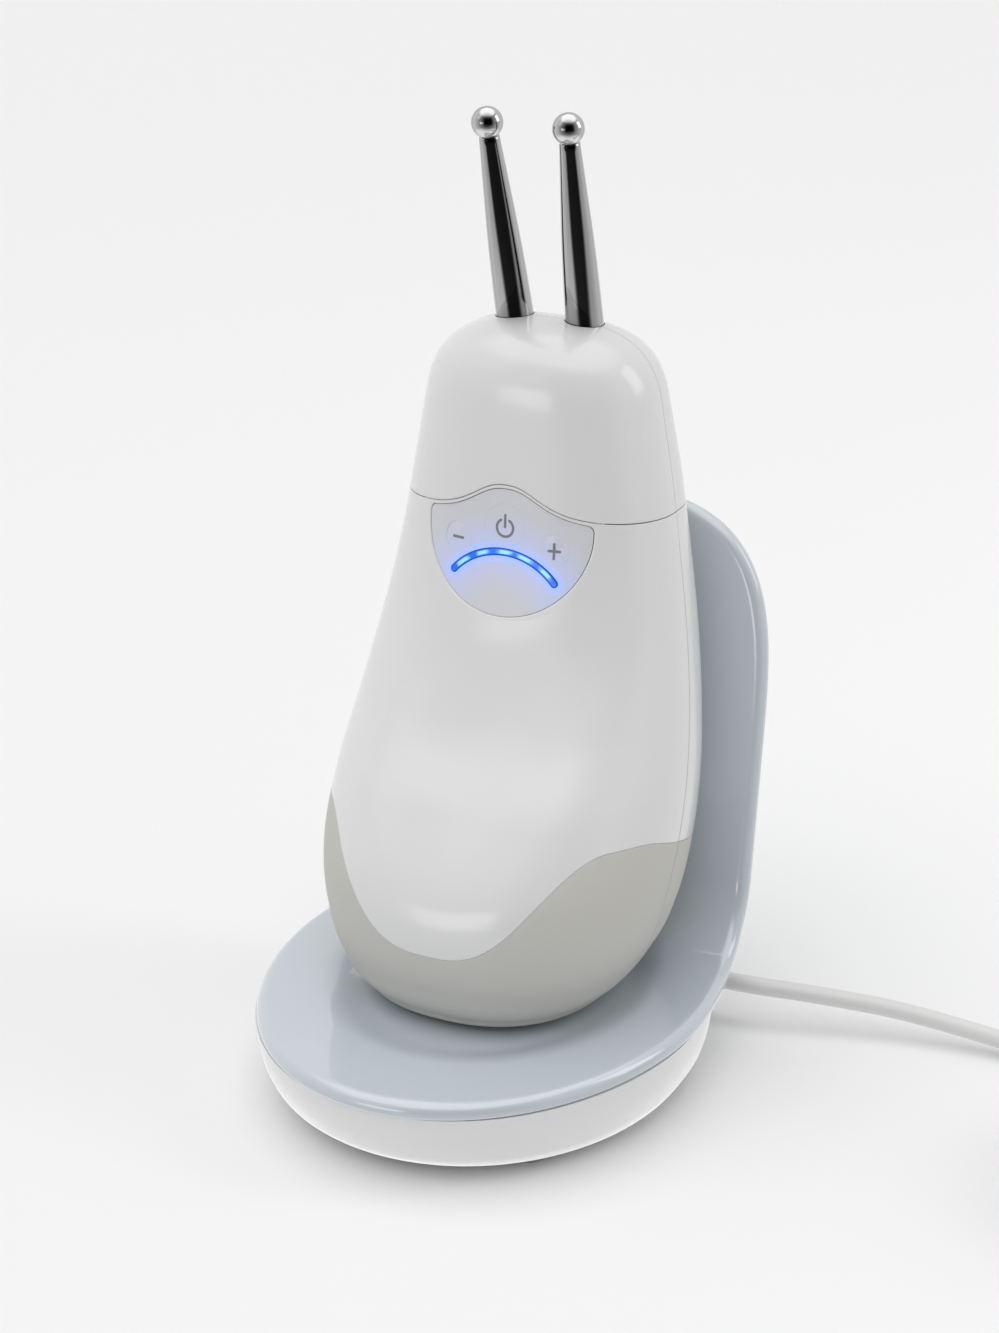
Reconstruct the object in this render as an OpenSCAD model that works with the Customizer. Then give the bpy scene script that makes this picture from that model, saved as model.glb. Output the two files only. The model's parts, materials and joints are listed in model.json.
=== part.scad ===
// Facial toning device: a handset with a two-ball probe head, standing in its charging cradle.
// Millimetres, +Z up, the front faces -Y. The origin is on the surface that the cradle stands
// on, under the middle of the cradle.

/* [Handset] */
// Height of the handset from its foot to its crown
handset_h = 125; // [112:1:140]
// Width across the handset at its widest
handset_w = 67; // [62:1:72]
// Depth of the handset from its belly to its back
handset_d = 64; // [58:1:68]
// Wall of the white housing shells
shell_wall = 2.2; // [1.8:0.1:2.8]
// Thickness of the soft grey grip moulded over the shells
grip_t = 1; // [0.6:0.1:1.2]
// Depth of the thumb dish pressed into the lower front
dish_depth = 3.6; // [0:0.2:5]
// Gap left where two fixed housing pieces meet
parting_gap = 0.12; // [0.05:0.01:0.3]
// Gap between the probe head and the handset body
head_gap = 0.3; // [0.3:0.05:0.5]

/* [Control panel] */
// Width of the shield-shaped control panel
panel_w = 32.2; // [29:0.2:35]
// Height of the rounded lower part of the panel
panel_drop = 15.4; // [14.6:0.2:17]
// Thickness of the panel film
panel_t = 0.8; // [0.5:0.1:1]
// How far the panel lies below the housing surface
panel_sink = 0.25; // [0.1:0.05:0.4]
// Diameter of the power button
power_dia = 7.4; // [6:0.2:8]
// Diameter of the minus and plus buttons
level_dia = 5.2; // [4.4:0.2:5.4]
// Travel of each button
button_travel = 0.4; // [0.2:0.1:0.5]
// Gap round each button in its hole
button_gap = 0.3; // [0.25:0.05:0.5]
// Mean radius of the light arc
arc_r = 13.2; // [12:0.2:14]
// Width of the light arc
arc_w = 1.4; // [1:0.1:1.8]
// Half the angle that the light arc spans
arc_half = 49; // [40:1:52]

/* [Probe head] */
// Length of each rod from the crown to the middle of its ball
rod_len = 36; // [28:1:44]
// Diameter of each rod where it leaves the head
rod_dia = 7.4; // [6.4:0.2:8]
// Diameter of each rod below its ball
neck_dia = 3.6; // [3:0.2:4.4]
// Diameter of each probe ball
ball_dia = 5.6; // [5:0.2:8]
// Distance between the rods where they leave the head
rod_pitch = 13.8; // [12:0.2:15]
// Forward lean of the rods
rod_lean = 15; // [12:1:17]
// Outward lean of each rod
rod_splay = 1.3; // [0:0.1:3]

/* [Cradle] */
// Depth of the cradle from the tray's front to the back plate's top
cradle_d = 95.2; // [92:0.2:104]
// Width of the tray
tray_w = 84; // [80:1:92]
// Width of the back plate
plate_w = 80; // [76:1:84]
// Height of the back plate's top
plate_top = 103; // [90:1:112]
// Height of the tray's upper surface
tray_top = 18; // [17:0.5:24]
// Thickness of the moulded tray and back plate
sheet_t = 2.8; // [2.4:0.1:3.4]
// Inner radius of the bend between the tray and the back plate
bend_r = 15; // [12:1:18]
// Backward lean of the back plate
plate_lean = 8; // [6:0.5:10]
// Wall of the base shell
base_wall = 2; // [1.6:0.1:2.6]
// Height of the rubber feet
foot_h = 1.2; // [0.8:0.1:1.6]
// Diameter of the rubber feet
foot_dia = 9; // [7:0.5:11]
// Depth of the oval hollow in the tray
hollow_depth = 1.2; // [0.8:0.1:1.4]
// Depth of the seat that takes the foot of the handset
seat_depth = 1.8; // [1.6:0.1:1.9]
// Gap between the handset's back and the back plate
lean_gap = 3; // [2.6:0.1:5]
// Clearance between the handset and its seat
seat_gap = 0.3; // [0.3:0.05:0.5]

/* [Cord] */
// Diameter of the cord
cord_dia = 3.5; // [3:0.1:3.6]
// Length of the tapered strain relief
relief_len = 22; // [20:1:24]
// Radius of the coil at the middle of its turns
coil_r = 20.5; // [19.5:0.5:21]
// Distance between neighbouring turns of the coil
coil_pitch = 4.2; // [4.1:0.05:4.3]

/* [Hidden] */

// Small clearance between fixed pieces that seat in each other
fit = 0.1;
// Largest reach of a region that cuts a housing
reach = 120;

// ---- handset form -------------------------------------------------------------------------

// Size at which the form stations are written: width, depth, height
form_size = [67, 64, 125];
// Form stations from the foot to where the crown starts: height, half width, front, seam, back
form = [
    [0, 14, -16, 0, 8.5],
    [0.8, 19.5, -21.5, 0, 13],
    [3.5, 24.4, -26, 0, 19.5],
    [9.5, 29, -28.9, 0.2, 24.6],
    [17.5, 31.9, -29.7, 1.4, 27],
    [27.5, 33.4, -28.9, 4.2, 28.6],
    [39.5, 33.5, -22.5, 8.6, 30.3],
    [53.5, 32, -11, 13.3, 32],
    [67.5, 29.8, -2.4, 16.6, 33.4],
    [81.5, 27.2, 1.4, 18.7, 34.3],
    [95.5, 24.8, 2.6, 19.8, 33.8],
    [107.5, 22.6, 3.3, 20, 32.2]
];
stretch_x = handset_w / form_size[0];
stretch_y = handset_d / form_size[1];
stretch_z = handset_h / form_size[2];
// Roundness of the front half and the back half of each section
front_power = 2.3;
back_power = 3;
// Points along the front half and the back half of each section
front_steps = 18;
back_steps = 12;

// Column c of the stations, stretched to size
function column(c, k) = [for (s = form) s[c] * k];
station_z = column(0, stretch_z);
station_a = column(1, stretch_x);
station_f = column(2, stretch_y);
station_s = column(3, stretch_y);
station_b = column(4, stretch_y);

// Smooth curve through the stations
function span_of(t, v, i = 0) = (i >= len(t) - 2 || v < t[i + 1]) ? i : span_of(t, v, i + 1);
function secant(t, y, i) = (y[i + 1] - y[i]) / (t[i + 1] - t[i]);
function slope(t, y, i) =
    i == 0 ? secant(t, y, 0)
    : i == len(t) - 1 ? secant(t, y, i - 1)
    : let (h1 = t[i] - t[i - 1], h2 = t[i + 1] - t[i])
        (secant(t, y, i - 1) * h2 + secant(t, y, i) * h1) / (h1 + h2);
function curve(t, y, v) =
    let (i = span_of(t, v), h = t[i + 1] - t[i], u = (v - t[i]) / h)
    y[i] * (1 + 2 * u) * pow(1 - u, 2) + slope(t, y, i) * h * u * pow(1 - u, 2)
    + y[i + 1] * u * u * (3 - 2 * u) - slope(t, y, i + 1) * h * u * u * (1 - u);
// The crown carries the last stations' slopes on and closes them in over a rounded top
last = len(form) - 1;
crown_z = station_z[last];
crown_power = 3;
function crown_part(z) = pow(1 - pow(min(1, (z - crown_z) / (handset_h - crown_z)), crown_power), 1 / crown_power);
function form_at(y, mid, z) =
    z <= crown_z ? curve(station_z, y, z)
    : mid + (y[last] + secant(station_z, y, last - 1) * (z - crown_z) - mid) * crown_part(z);
function half_w(z) = form_at(station_a, 0, z);
function front_y(z) = form_at(station_f, station_s[last], z);
function seam_y(z) = form_at(station_s, station_s[last], z);
function back_y(z) = form_at(station_b, station_s[last], z);

// Smooth bump, 1 at the middle and 0 past the edge
function bump(u) = abs(u) < 1 ? pow(1 - u * u, 2) : 0;
function ease(u) = let (v = min(1, max(0, u))) v * v * (3 - 2 * v);
// Thumb dish: its middle, half height and half width
dish_z = 45 * stretch_z;
dish_h = 29 * stretch_z;
dish_w = 22 * stretch_x;
function dish(x, z) = dish_depth * bump(x / dish_w) * bump((z - dish_z) / dish_h);

// Depth of the front surface at x and z, before and after the dish
function bare_front(x, z) =
    let (u = min(1, abs(x) / half_w(z)))
    seam_y(z) - (seam_y(z) - front_y(z)) * pow(1 - pow(u, front_power), 1 / front_power);
function surface_y(x, z) = bare_front(x, z) + dish(x, z);

// Power of a signed number that keeps the sign
function spow(v, p) = sign(v) * pow(abs(v), p);

// Height of the station whose section, drawn in by inset, lies at height z
function station_at(z, inset) = (z - inset) * handset_h / (handset_h - 2 * inset);
// One section at height z, drawn in by inset, counterclockwise from the right seam
function section(z, inset, lift) =
    let (a = half_w(z) - inset, f = front_y(z) + inset, s = seam_y(z), b = back_y(z) - inset)
    concat(
        [for (i = [0:back_steps - 1])
            let (t = 180 * i / back_steps)
            [a * spow(cos(t), 2 / back_power), s + (b - s) * spow(sin(t), 2 / back_power), lift]],
        [for (i = [0:front_steps - 1])
            let (t = 180 + 180 * i / front_steps,
                 x = a * spow(cos(t), 2 / front_power),
                 y = s + (s - f) * spow(sin(t), 2 / front_power))
            [x, y + dish(x, z), lift]]
    );

// Faces of a skin over n rings of m points, with flat ends
function skin(n, m) = concat(
    [[for (j = [0:m - 1]) j]],
    [for (i = [0:n - 2], j = [0:m - 1])
        [i * m + j, (i + 1) * m + j, (i + 1) * m + (j + 1) % m]],
    [for (i = [0:n - 2], j = [0:m - 1])
        [i * m + j, (i + 1) * m + (j + 1) % m, i * m + (j + 1) % m]],
    [[for (j = [m - 1:-1:0]) (n - 1) * m + j]]
);

// Heights at which the form is cut into sections, with one more between the far stations
far_station = 3.2;
dome_steps = 8;
dome_close = 75;
levels = concat(
    [for (i = [0:len(form) - 2])
        let (z0 = station_z[i], z1 = station_z[i + 1])
        for (k = z1 - z0 > far_station ? [0, 0.5] : [0]) z0 + k * (z1 - z0)],
    [for (i = [0:dome_steps])
        let (k = pow(cos(dome_close * i / dome_steps), crown_power))
        crown_z + (handset_h - crown_z) * pow(1 - k, 1 / crown_power)]
);

// The whole handset body as one solid, drawn in by inset all round
module form_solid(inset = 0) {
    squeeze = (handset_h - 2 * inset) / handset_h;
    rings = [for (z = levels) section(z, inset, inset + z * squeeze)];
    polyhedron([for (r = rings) each r], skin(len(rings), front_steps + back_steps));
}

// Layer of the form between two depths
module form_layer(outer, inner) {
    difference() {
        form_solid(outer);
        form_solid(inner);
    }
}

// A freeform solid cut as one mesh
module as_mesh() {
    resize([0, 0, 0]) children();
}

// Extrude a YZ outline across the handset, or an XZ outline through it
module across(w = reach) {
    rotate([90, 0, 90]) linear_extrude(w, center = true) children();
}
module through(y0, y1) {
    translate([0, y1, 0]) rotate([90, 0, 0]) linear_extrude(y1 - y0) children();
}

// In front of the side seam, or behind it, past a gap
seam_steps = 17;
seam_line = [for (i = [0:seam_steps - 1])
    let (z = handset_h * (i + 0.43) / seam_steps) [seam_y(z), z]];
module front_zone(gap = parting_gap / 2) {
    across() polygon(concat(
        [[-reach, -reach], [seam_line[0][0] - gap, -reach]],
        [for (p = seam_line) [p[0] - gap, p[1]]],
        [[seam_line[len(seam_line) - 1][0] - gap, handset_h + reach], [-reach, handset_h + reach]]
    ));
}
module rear_zone() {
    difference() {
        translate([-reach / 2 + 1, -reach, -reach]) cube([reach - 2, 2 * reach, 3 * reach]);
        front_zone(-parting_gap / 2);
    }
}

// Parting line between the head and the body: its level at the sides, its peak and its spread
part_z = 88.9 * stretch_z;
part_rise = 6.5 * stretch_z;
part_spread = 8.2;
function part_line(x) = part_z + part_rise / (1 + pow(abs(x) / part_spread, 2.5));
part_x = [for (i = [-20:20]) 2 * i];
module head_zone() {
    through(-reach, reach) polygon(concat(
        [for (x = part_x) [x, part_line(x) + head_gap / 2]],
        [[40, handset_h + 20], [-40, handset_h + 20]]
    ));
}
module body_zone() {
    through(-reach, reach) polygon(concat(
        [for (x = part_x) [x, part_line(x) - head_gap / 2]],
        [[40, -20], [-40, -20]]
    ));
}

// Upper edge of the grip: low under the thumb dish, high at the sides
grip_low = 17 * stretch_z;
grip_high = 34.5 * stretch_z;
grip_from = 8 * stretch_x;
grip_to = 28 * stretch_x;
function grip_line(x) =
    grip_low + (grip_high - grip_low) * ease((abs(x) - grip_from) / (grip_to - grip_from));
grip_x = [for (i = [-20:20]) 2 * i];
module grip_zone(drop = 0) {
    difference() {
        union() {
            through(-reach, 12) polygon(concat(
                [for (x = grip_x) [x, grip_line(x) - drop]], [[40, -20], [-40, -20]]
            ));
            through(12 - fit, reach) polygon(
                [[-40, grip_high - drop], [40, grip_high - drop], [40, -20], [-40, -20]]
            );
        }
    }
}

// Panel outline: the top edge follows the parting line and the lower edge is half an ellipse
panel_top_gap = 0.8;
panel_z = part_z - 1.8;
panel_corner = 1.4;
module panel_shape(grow = 0) {
    offset(r = panel_corner + grow) offset(r = -panel_corner)
    intersection() {
        union() {
            translate([-panel_w / 2, panel_z]) square([panel_w, reach]);
            translate([0, panel_z]) scale([panel_w / 2, panel_drop]) circle(r = 1, $fn = 36);
        }
        polygon(concat(
            [for (x = part_x) [x, part_line(x) - panel_top_gap]], [[40, 0], [-40, 0]]
        ));
    }
}
module panel_zone(grow = 0) {
    through(-reach, 15 * stretch_y) panel_shape(grow);
}

// ---- buttons and light arc ----------------------------------------------------------------

// Lean of the panel and turn of the side buttons, which follow the surface
panel_lean = 6;
level_turn = 10;
power_z = part_z - 0.9;
level_z = part_z - 4.3;
level_x = 9.5;
arc_z = part_z - 19;
cap_rise = 0.12;
flange_t = 0.7;
flange_over = 0.9;
stem_dia = 2.4;
flange_depth = shell_wall + 0.75;
hole_depth = shell_wall + 2;
switch_gap = 0.3;
stem_power = 4.8;
stem_level = 4.25;

// Place children on the panel with +Z pointing out of it
module on_panel(x, z, turn = 0) {
    translate([x, surface_y(x, z) + panel_sink, z]) rotate([0, 0, turn])
        rotate([90 - panel_lean, 0, 0]) children();
}
module on_power() {
    on_panel(0, power_z) children();
}
module on_level(side) {
    on_panel(side * level_x, level_z, side * level_turn) children();
}
// A round button turned about its axis: domed cap, guide, flange and stem
module button_body(dia, stem) {
    r = dia / 2;
    rotate_extrude($fn = 64) polygon([
        [0, cap_rise], [r * 0.55, cap_rise * 0.8], [r - 0.35, cap_rise * 0.2], [r, -0.3],
        [r, -flange_depth], [r + flange_over, -flange_depth],
        [r + flange_over, -flange_depth - flange_t], [stem_dia / 2, -flange_depth - flange_t],
        [stem_dia / 2, -stem], [0, -stem]
    ]);
}
module button_hole(dia) {
    translate([0, 0, -hole_depth]) cylinder(d = dia + 2 * button_gap, h = hole_depth + 2, $fn = 28);
}
module button_holes() {
    on_power() button_hole(power_dia);
    for (side = [-1, 1]) on_level(side) button_hole(level_dia);
}

// Bar along the light arc, from one depth below the surface to another
arc_steps = 14;
module arc_bar(half, from, to, over = 0) {
    rings = [for (i = [0:arc_steps])
        let (t = -arc_half - over + (2 * arc_half + 2 * over) * i / arc_steps)
        [for (c = [[-half, to], [half, to], [half, from], [-half, from]])
            let (x = (arc_r + c[0]) * sin(t), z = arc_z + (arc_r + c[0]) * cos(t))
            [x, surface_y(x, z) + c[1], z]]];
    polyhedron([for (r = rings) each r], skin(len(rings), 4));
}
arc_depth = shell_wall + 0.9;

// ---- places in the cradle -----------------------------------------------------------------

handset_back = max(station_b);
sheet_rise = 90 - plate_lean;
plate_len = (plate_top - tray_top - bend_r * (1 - cos(sheet_rise))) / cos(plate_lean);
bend_y = cradle_d / 2 - sheet_t * cos(plate_lean) - plate_len * sin(plate_lean) - bend_r * sin(sheet_rise);
tray_len = bend_y + cradle_d / 2;
bend_len = bend_r * sheet_rise * PI / 180;
sheet_len = tray_len + bend_len + plate_len;
plate_foot = [bend_y + bend_r * sin(sheet_rise), tray_top + bend_r * (1 - cos(sheet_rise))];
seat_z = tray_top - seat_depth + seat_gap;
back_z = 81.5 * stretch_z + seat_z;
seat_y = plate_foot[0] + (back_z - plate_foot[1]) * tan(plate_lean) - handset_back - lean_gap;

module seated() {
    translate([0, seat_y, seat_z]) children();
}

// ---- handset shells -----------------------------------------------------------------------

white = "#F4F4F3";
grey = "#A3A39E";
steel_blue = "#B4BBC2";

module grip_recess() {
    intersection() {
        form_layer(-1, grip_t + fit);
        grip_zone();
    }
}
pad_x = 6;
pad_y = 3.4;
pad_dia = 3.6;
pad_rise = 0.8;
pin_dia = 2.4;
module pad_holes() {
    for (side = [-1, 1]) translate([side * pad_x, pad_y, -2]) cylinder(d = pad_dia + 2 * fit, h = 8, $fn = 32);
}

module front_shell() {
    color(white) seated() as_mesh() difference() {
        intersection() {
            union() {
                form_layer(0, shell_wall);
                board_bosses();
            }
            front_zone();
            body_zone();
        }
        board_at() at_board_screws() translate([0, board_depth - screw_depth, 0]) rotate([-90, 0, 0])
            cylinder(d = screw_dia + 2 * fit, h = screw_depth + 1, $fn = 14);
        grip_recess();
        intersection() {
            form_layer(-1, panel_sink + panel_t + fit);
            panel_zone(fit);
        }
        button_holes();
        arc_bar(arc_w / 2 + fit, -2, shell_wall + 2, 1);
    }
}

module rear_shell() {
    color(white) seated() as_mesh() difference() {
        intersection() {
            union() {
                form_layer(0, shell_wall);
                socket_ribs();
            }
            rear_zone();
            body_zone();
        }
        grip_recess();
        pad_holes();
    }
}

module front_grip() {
    color(grey) seated() as_mesh() intersection() {
        form_layer(0, grip_t);
        grip_zone(fit);
        front_zone();
    }
}

module rear_grip() {
    color(grey) seated() as_mesh() difference() {
        intersection() {
            form_layer(0, grip_t);
            grip_zone(fit);
            rear_zone();
        }
        pad_holes();
    }
}

module control_panel() {
    color("#DDDDE6") seated() as_mesh() difference() {
        intersection() {
            form_layer(panel_sink, panel_sink + panel_t);
            panel_zone();
        }
        button_holes();
        arc_bar(arc_w / 2 + fit, -2, shell_wall + 2, 1);
    }
}

module light_arc() {
    color("#2F6BFF") seated() arc_bar(arc_w / 2, panel_sink, arc_depth);
}

module power_button() {
    color("#D8D8E2") seated() on_power() button_body(power_dia, stem_power);
}
module minus_button() {
    color("#D8D8E2") seated() on_level(-1) button_body(level_dia, stem_level);
}
module plus_button() {
    color("#D8D8E2") seated() on_level(1) button_body(level_dia, stem_level);
}

// ---- inside the handset -------------------------------------------------------------------

// The board stands parallel to the panel; board_at puts its own frame there, +Y going inwards
board_depth = 7.2;
board_t = 1.6;
board_w = 30;
board_low = -38;
board_high = 2.5;
tongue_w = 12;
tongue_high = 8.5;
screw_x = board_w / 2 - 2.2;
screw_dia = 1.6;
screw_depth = 3.6;
boss_dia = 4;
module board_at() {
    translate([0, surface_y(0, level_z) + panel_sink, level_z]) rotate([-panel_lean, 0, 0]) children();
}
module at_board_screws() {
    for (x = [-screw_x, screw_x], z = [board_low + 4, board_high - 10]) translate([x, 0, z]) children();
}
// Bosses on the front shell that carry the board, and ribs on the rear shell behind the sockets
module board_bosses() {
    intersection() {
        board_at() at_board_screws() translate([0, -reach / 2, 0]) rotate([-90, 0, 0])
            cylinder(d = boss_dia, h = board_depth + reach / 2 - fit, $fn = 14);
        form_solid(shell_wall / 2);
    }
}
module socket_ribs() {
    intersection() {
        for (side = [-1, 1]) translate([side * (socket_w / 2 - 3) - 1, socket_y + socket_d + fit, socket_top - socket_h])
            cube([2, reach, socket_h - 1]);
        form_solid(shell_wall / 2);
    }
}
module main_board() {
    color("#2E6B45") seated() board_at() difference() {
        union() {
            translate([-board_w / 2, board_depth, board_low]) cube([board_w, board_t, board_high - board_low]);
            translate([-tongue_w / 2, board_depth, board_low]) cube([tongue_w, board_t, tongue_high - board_low]);
        }
        at_board_screws() translate([0, board_depth - 1, 0]) rotate([-90, 0, 0])
            cylinder(d = screw_dia + 2 * fit, h = board_t + 2, $fn = 24);
    }
}
module board_screws() {
    color("#B8BABC") seated() board_at() at_board_screws() translate([0, board_depth + board_t, 0]) rotate([90, 0, 0])
        rotate_extrude($fn = 24) polygon([
            [0, -1], [1.2, -1], [1.7, -0.6], [1.7, -0.02], [screw_dia / 2, -0.02],
            [screw_dia / 2, board_t + screw_depth - 0.8], [0.4, board_t + screw_depth - 0.4], [0, board_t + screw_depth - 0.4]
        ]);
}

switch_w = 4.2;
module switch(h) {
    translate([-switch_w / 2, board_depth - h * 0.6, -switch_w / 2]) cube([switch_w, h * 0.6, switch_w]);
    translate([0, board_depth - h, 0]) rotate([-90, 0, 0]) cylinder(d = 1.8, h = h * 0.5, $fn = 24);
}
// Room left between the end of each stem, pressed in, and the board
switch_power = board_depth - stem_power - button_travel - switch_gap;
switch_level = board_depth - stem_level - button_travel - switch_gap - 0.75;
module tact_switches() {
    color("#C9CCD0") seated() board_at() {
        translate([0, 0, power_z - level_z]) switch(switch_power);
        for (side = [-1, 1]) translate([side * (level_x - 0.7), 0, -0.4]) switch(switch_level);
    }
}

led_count = 5;
module leds() {
    color("#E8F0FF") seated() board_at()
        for (i = [0:led_count - 1]) {
            t = -arc_half + 5 + (2 * arc_half - 10) * i / (led_count - 1);
            translate([arc_r * sin(t) - 1, board_depth - 1.2, arc_z - level_z + arc_r * cos(t) - 0.7])
                cube([2, 1.2, 1.4]);
        }
}

module boost_coil() {
    color("#8A5A2B") seated() board_at() translate([-8, board_depth, -28]) rotate([90, 0, 0])
        rotate_extrude($fn = 48) polygon([
            [0, 0], [4, 0], [4, 0.8], [2.8, 0.8], [2.8, 3.4], [4, 3.4], [4, 4.2], [0, 4.2]
        ]);
}

module buzzer() {
    color("#26282B") seated() board_at() translate([8, board_depth, -28]) rotate([90, 0, 0]) difference() {
        cylinder(d = 9, h = 3, $fn = 48);
        translate([0, 0, 2]) cylinder(d = 2, h = 2, $fn = 24);
    }
}

battery_w = 20;
battery_t = 8.5;
battery_h = 31;
battery_r = 1.5;
module battery() {
    color("#3C6FA8") seated() board_at()
        translate([0, board_depth + board_t + 0.3, board_low + 1]) linear_extrude(battery_h)
            hull() for (x = [-1, 1], y = [battery_r, battery_t - battery_r])
                translate([x * (battery_w / 2 - battery_r), y]) circle(r = battery_r, $fn = 24);
}

// Block under the head with two brass sockets
socket_w = 27;
socket_y = 13.5;
socket_d = 15;
socket_h = 8;
socket_top = part_z - 0.6;
contact_x = 8;
contact_y = 21;
sleeve_dia = 5;
contact_dia = 2.4;
sleeve_bore = contact_dia + 0.7;
module at_contacts() {
    for (side = [-1, 1]) translate([side * contact_x, contact_y, 0]) children();
}
module socket_block() {
    color("#DADBDC") seated() difference() {
        translate([-socket_w / 2, socket_y, socket_top - socket_h]) cube([socket_w, socket_d, socket_h]);
        at_contacts() translate([0, 0, socket_top - socket_h + 1]) cylinder(d = sleeve_dia + 2 * fit, h = socket_h, $fn = 40);
    }
}
module contact_sockets() {
    color("#C9A24B") seated() at_contacts() difference() {
        translate([0, 0, socket_top - socket_h + 1]) cylinder(d = sleeve_dia, h = socket_h - 1, $fn = 40);
        translate([0, 0, socket_top - socket_h + 1.8]) cylinder(d = sleeve_bore, h = socket_h, $fn = 40);
    }
}

module charge_pads() {
    color("#C9A24B") seated()
        for (side = [-1, 1]) translate([side * pad_x, pad_y, pad_rise]) cylinder(d = pad_dia, h = 3, $fn = 32);
}

// ---- probe head ---------------------------------------------------------------------------

rod_z = 122.5 * stretch_z;
rod_y = 20.4 * stretch_y;
shank_dia = 4.6;
shank_len = 14.5;
rod_root = 2.5;

// Place children on a rod's axis, +Z towards the ball, with the origin where it leaves the head
module on_rod(side) {
    translate([side * rod_pitch / 2, rod_y, rod_z]) rotate([rod_lean, side * rod_splay, 0]) children();
}
module rod() {
    r = rod_dia / 2;
    n = neck_dia / 2;
    top = rod_len - ball_dia / 2 + 0.5;
    rotate_extrude($fn = 64) polygon([
        [0, -shank_len], [shank_dia / 2, -shank_len], [shank_dia / 2, -rod_root], [r, -rod_root],
        [r, 0], [n + 0.86 * (r - n), top * 0.2], [n + 0.66 * (r - n), top * 0.45],
        [n + 0.36 * (r - n), top * 0.7], [n + 0.08 * (r - n), top * 0.93], [n, top - 0.4],
        [n - 0.3, top], [0, top]
    ]);
}
module ball() {
    difference() {
        translate([0, 0, rod_len]) sphere(d = ball_dia, $fn = 64);
        translate([0, 0, rod_len - ball_dia]) cylinder(d = neck_dia + 1, h = ball_dia / 2 + 0.5, $fn = 48);
    }
}
module rod_holes() {
    for (side = [-1, 1]) on_rod(side) translate([0, 0, -rod_root - 1.5])
        cylinder(d = rod_dia + 2 * fit, h = 12, $fn = 40);
}

module head_front_shell() {
    color(white) seated() as_mesh() difference() {
        intersection() {
            form_layer(0, shell_wall);
            front_zone();
            head_zone();
        }
        rod_holes();
    }
}
module head_rear_shell() {
    color(white) seated() as_mesh() difference() {
        intersection() {
            form_layer(0, shell_wall);
            rear_zone();
            head_zone();
        }
        rod_holes();
    }
}

// Floor of the head, which carries the contact pins and two posts up to the rod carrier
head_base_t = 2;
head_base_z = part_z + 0.5;
head_base_front = 14.5 * stretch_y;
carrier_drop = 15.5;
carrier_z = rod_z - carrier_drop;
carrier_h = 6;
carrier_w = 22;
carrier_d = 8.3;
post_x = 8;
post_y = 25.4 * stretch_y;
post_dia = 3.2;
module wall_outline(z) {
    polygon([for (p = section(station_at(z, shell_wall), shell_wall + 2 * fit, 0)) [p[0], p[1]]]);
}
module head_base() {
    color("#DADBDC") seated() difference() {
        union() {
            translate([0, 0, head_base_z]) linear_extrude(head_base_t) intersection() {
                wall_outline(head_base_z + head_base_t);
                // Drawn in at the back, where the body reaches up behind it as the head is pulled off
                union() {
                    wall_outline(part_z + part_rise);
                    for (side = [-1, 1]) translate([side * (reach / 2 + 1.3 * part_spread), reach / 2])
                        square([reach, reach], center = true);
                }
                translate([-reach / 2, head_base_front]) square([reach, reach]);
            }
            for (side = [-1, 1]) translate([side * post_x, post_y, head_base_z])
                cylinder(d = post_dia, h = carrier_z - head_base_z, $fn = 32);
        }
        at_contacts() translate([0, 0, head_base_z - 1]) cylinder(d = contact_dia + 2 * fit, h = 8, $fn = 32);
    }
}
module contact_pins() {
    color("#C9A24B") seated() at_contacts() {
        translate([0, 0, head_base_z - 6]) cylinder(d = contact_dia, h = head_base_t + 6.6, $fn = 32);
        translate([0, 0, head_base_z + head_base_t]) cylinder(d = contact_dia + 1.4, h = 0.8, $fn = 32);
    }
}
module rod_carrier() {
    color("#C6C8CA") seated() difference() {
        translate([-carrier_w / 2, rod_y - 1.2, carrier_z]) cube([carrier_w, carrier_d, carrier_h]);
        for (side = [-1, 1]) on_rod(side) translate([0, 0, -40]) cylinder(d = shank_dia + 2 * fit, h = 45, $fn = 40);
    }
}
module rod_left() {
    color("#9A9C9E") seated() on_rod(-1) rod();
}
module rod_right() {
    color("#9A9C9E") seated() on_rod(1) rod();
}
module ball_left() {
    color("#D5D7D9") seated() on_rod(-1) ball();
}
module ball_right() {
    color("#D5D7D9") seated() on_rod(1) ball();
}

// ---- cradle -------------------------------------------------------------------------------

// The tray and the back plate are one moulded sheet. Its outline is drawn flat, with s running
// from the tray's front to the plate's top, and is then bent along the side profile.
tray_front_len = 53;
plate_head_len = 46;
plate_power = 3.3;
side_steps = 9;
nose_steps = 10;
crown_steps = 10;
function side_w(s) = tray_w / 2 - (tray_w - plate_w) / 2 * ease((s - tray_front_len) / 30);
right_edge = concat(
    [for (i = [0:nose_steps - 1]) let (t = 90 * i / nose_steps)
        [tray_w / 2 * sin(t), tray_front_len * (1 - cos(t))]],
    [for (i = [0:side_steps - 1])
        let (s = tray_front_len + (sheet_len - plate_head_len - tray_front_len) * i / side_steps)
        [side_w(s), s]],
    [for (i = [0:crown_steps]) let (t = 90 * i / crown_steps)
        [plate_w / 2 * spow(cos(t), 2 / plate_power),
         sheet_len - plate_head_len * (1 - spow(sin(t), 2 / plate_power))]]
);
// Closed ring from its right half, which runs from the front to the back
function closed(half) =
    concat(half, [for (i = [len(half) - 2:-1:1]) [-half[i][0], half[i][1]]]);
outline = closed(right_edge);
ring_n = len(outline);
spine_from = 36;
spine_to = sheet_len - 34;
function spine(p) = [0, min(spine_to, max(spine_from, p[1]))];
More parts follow.
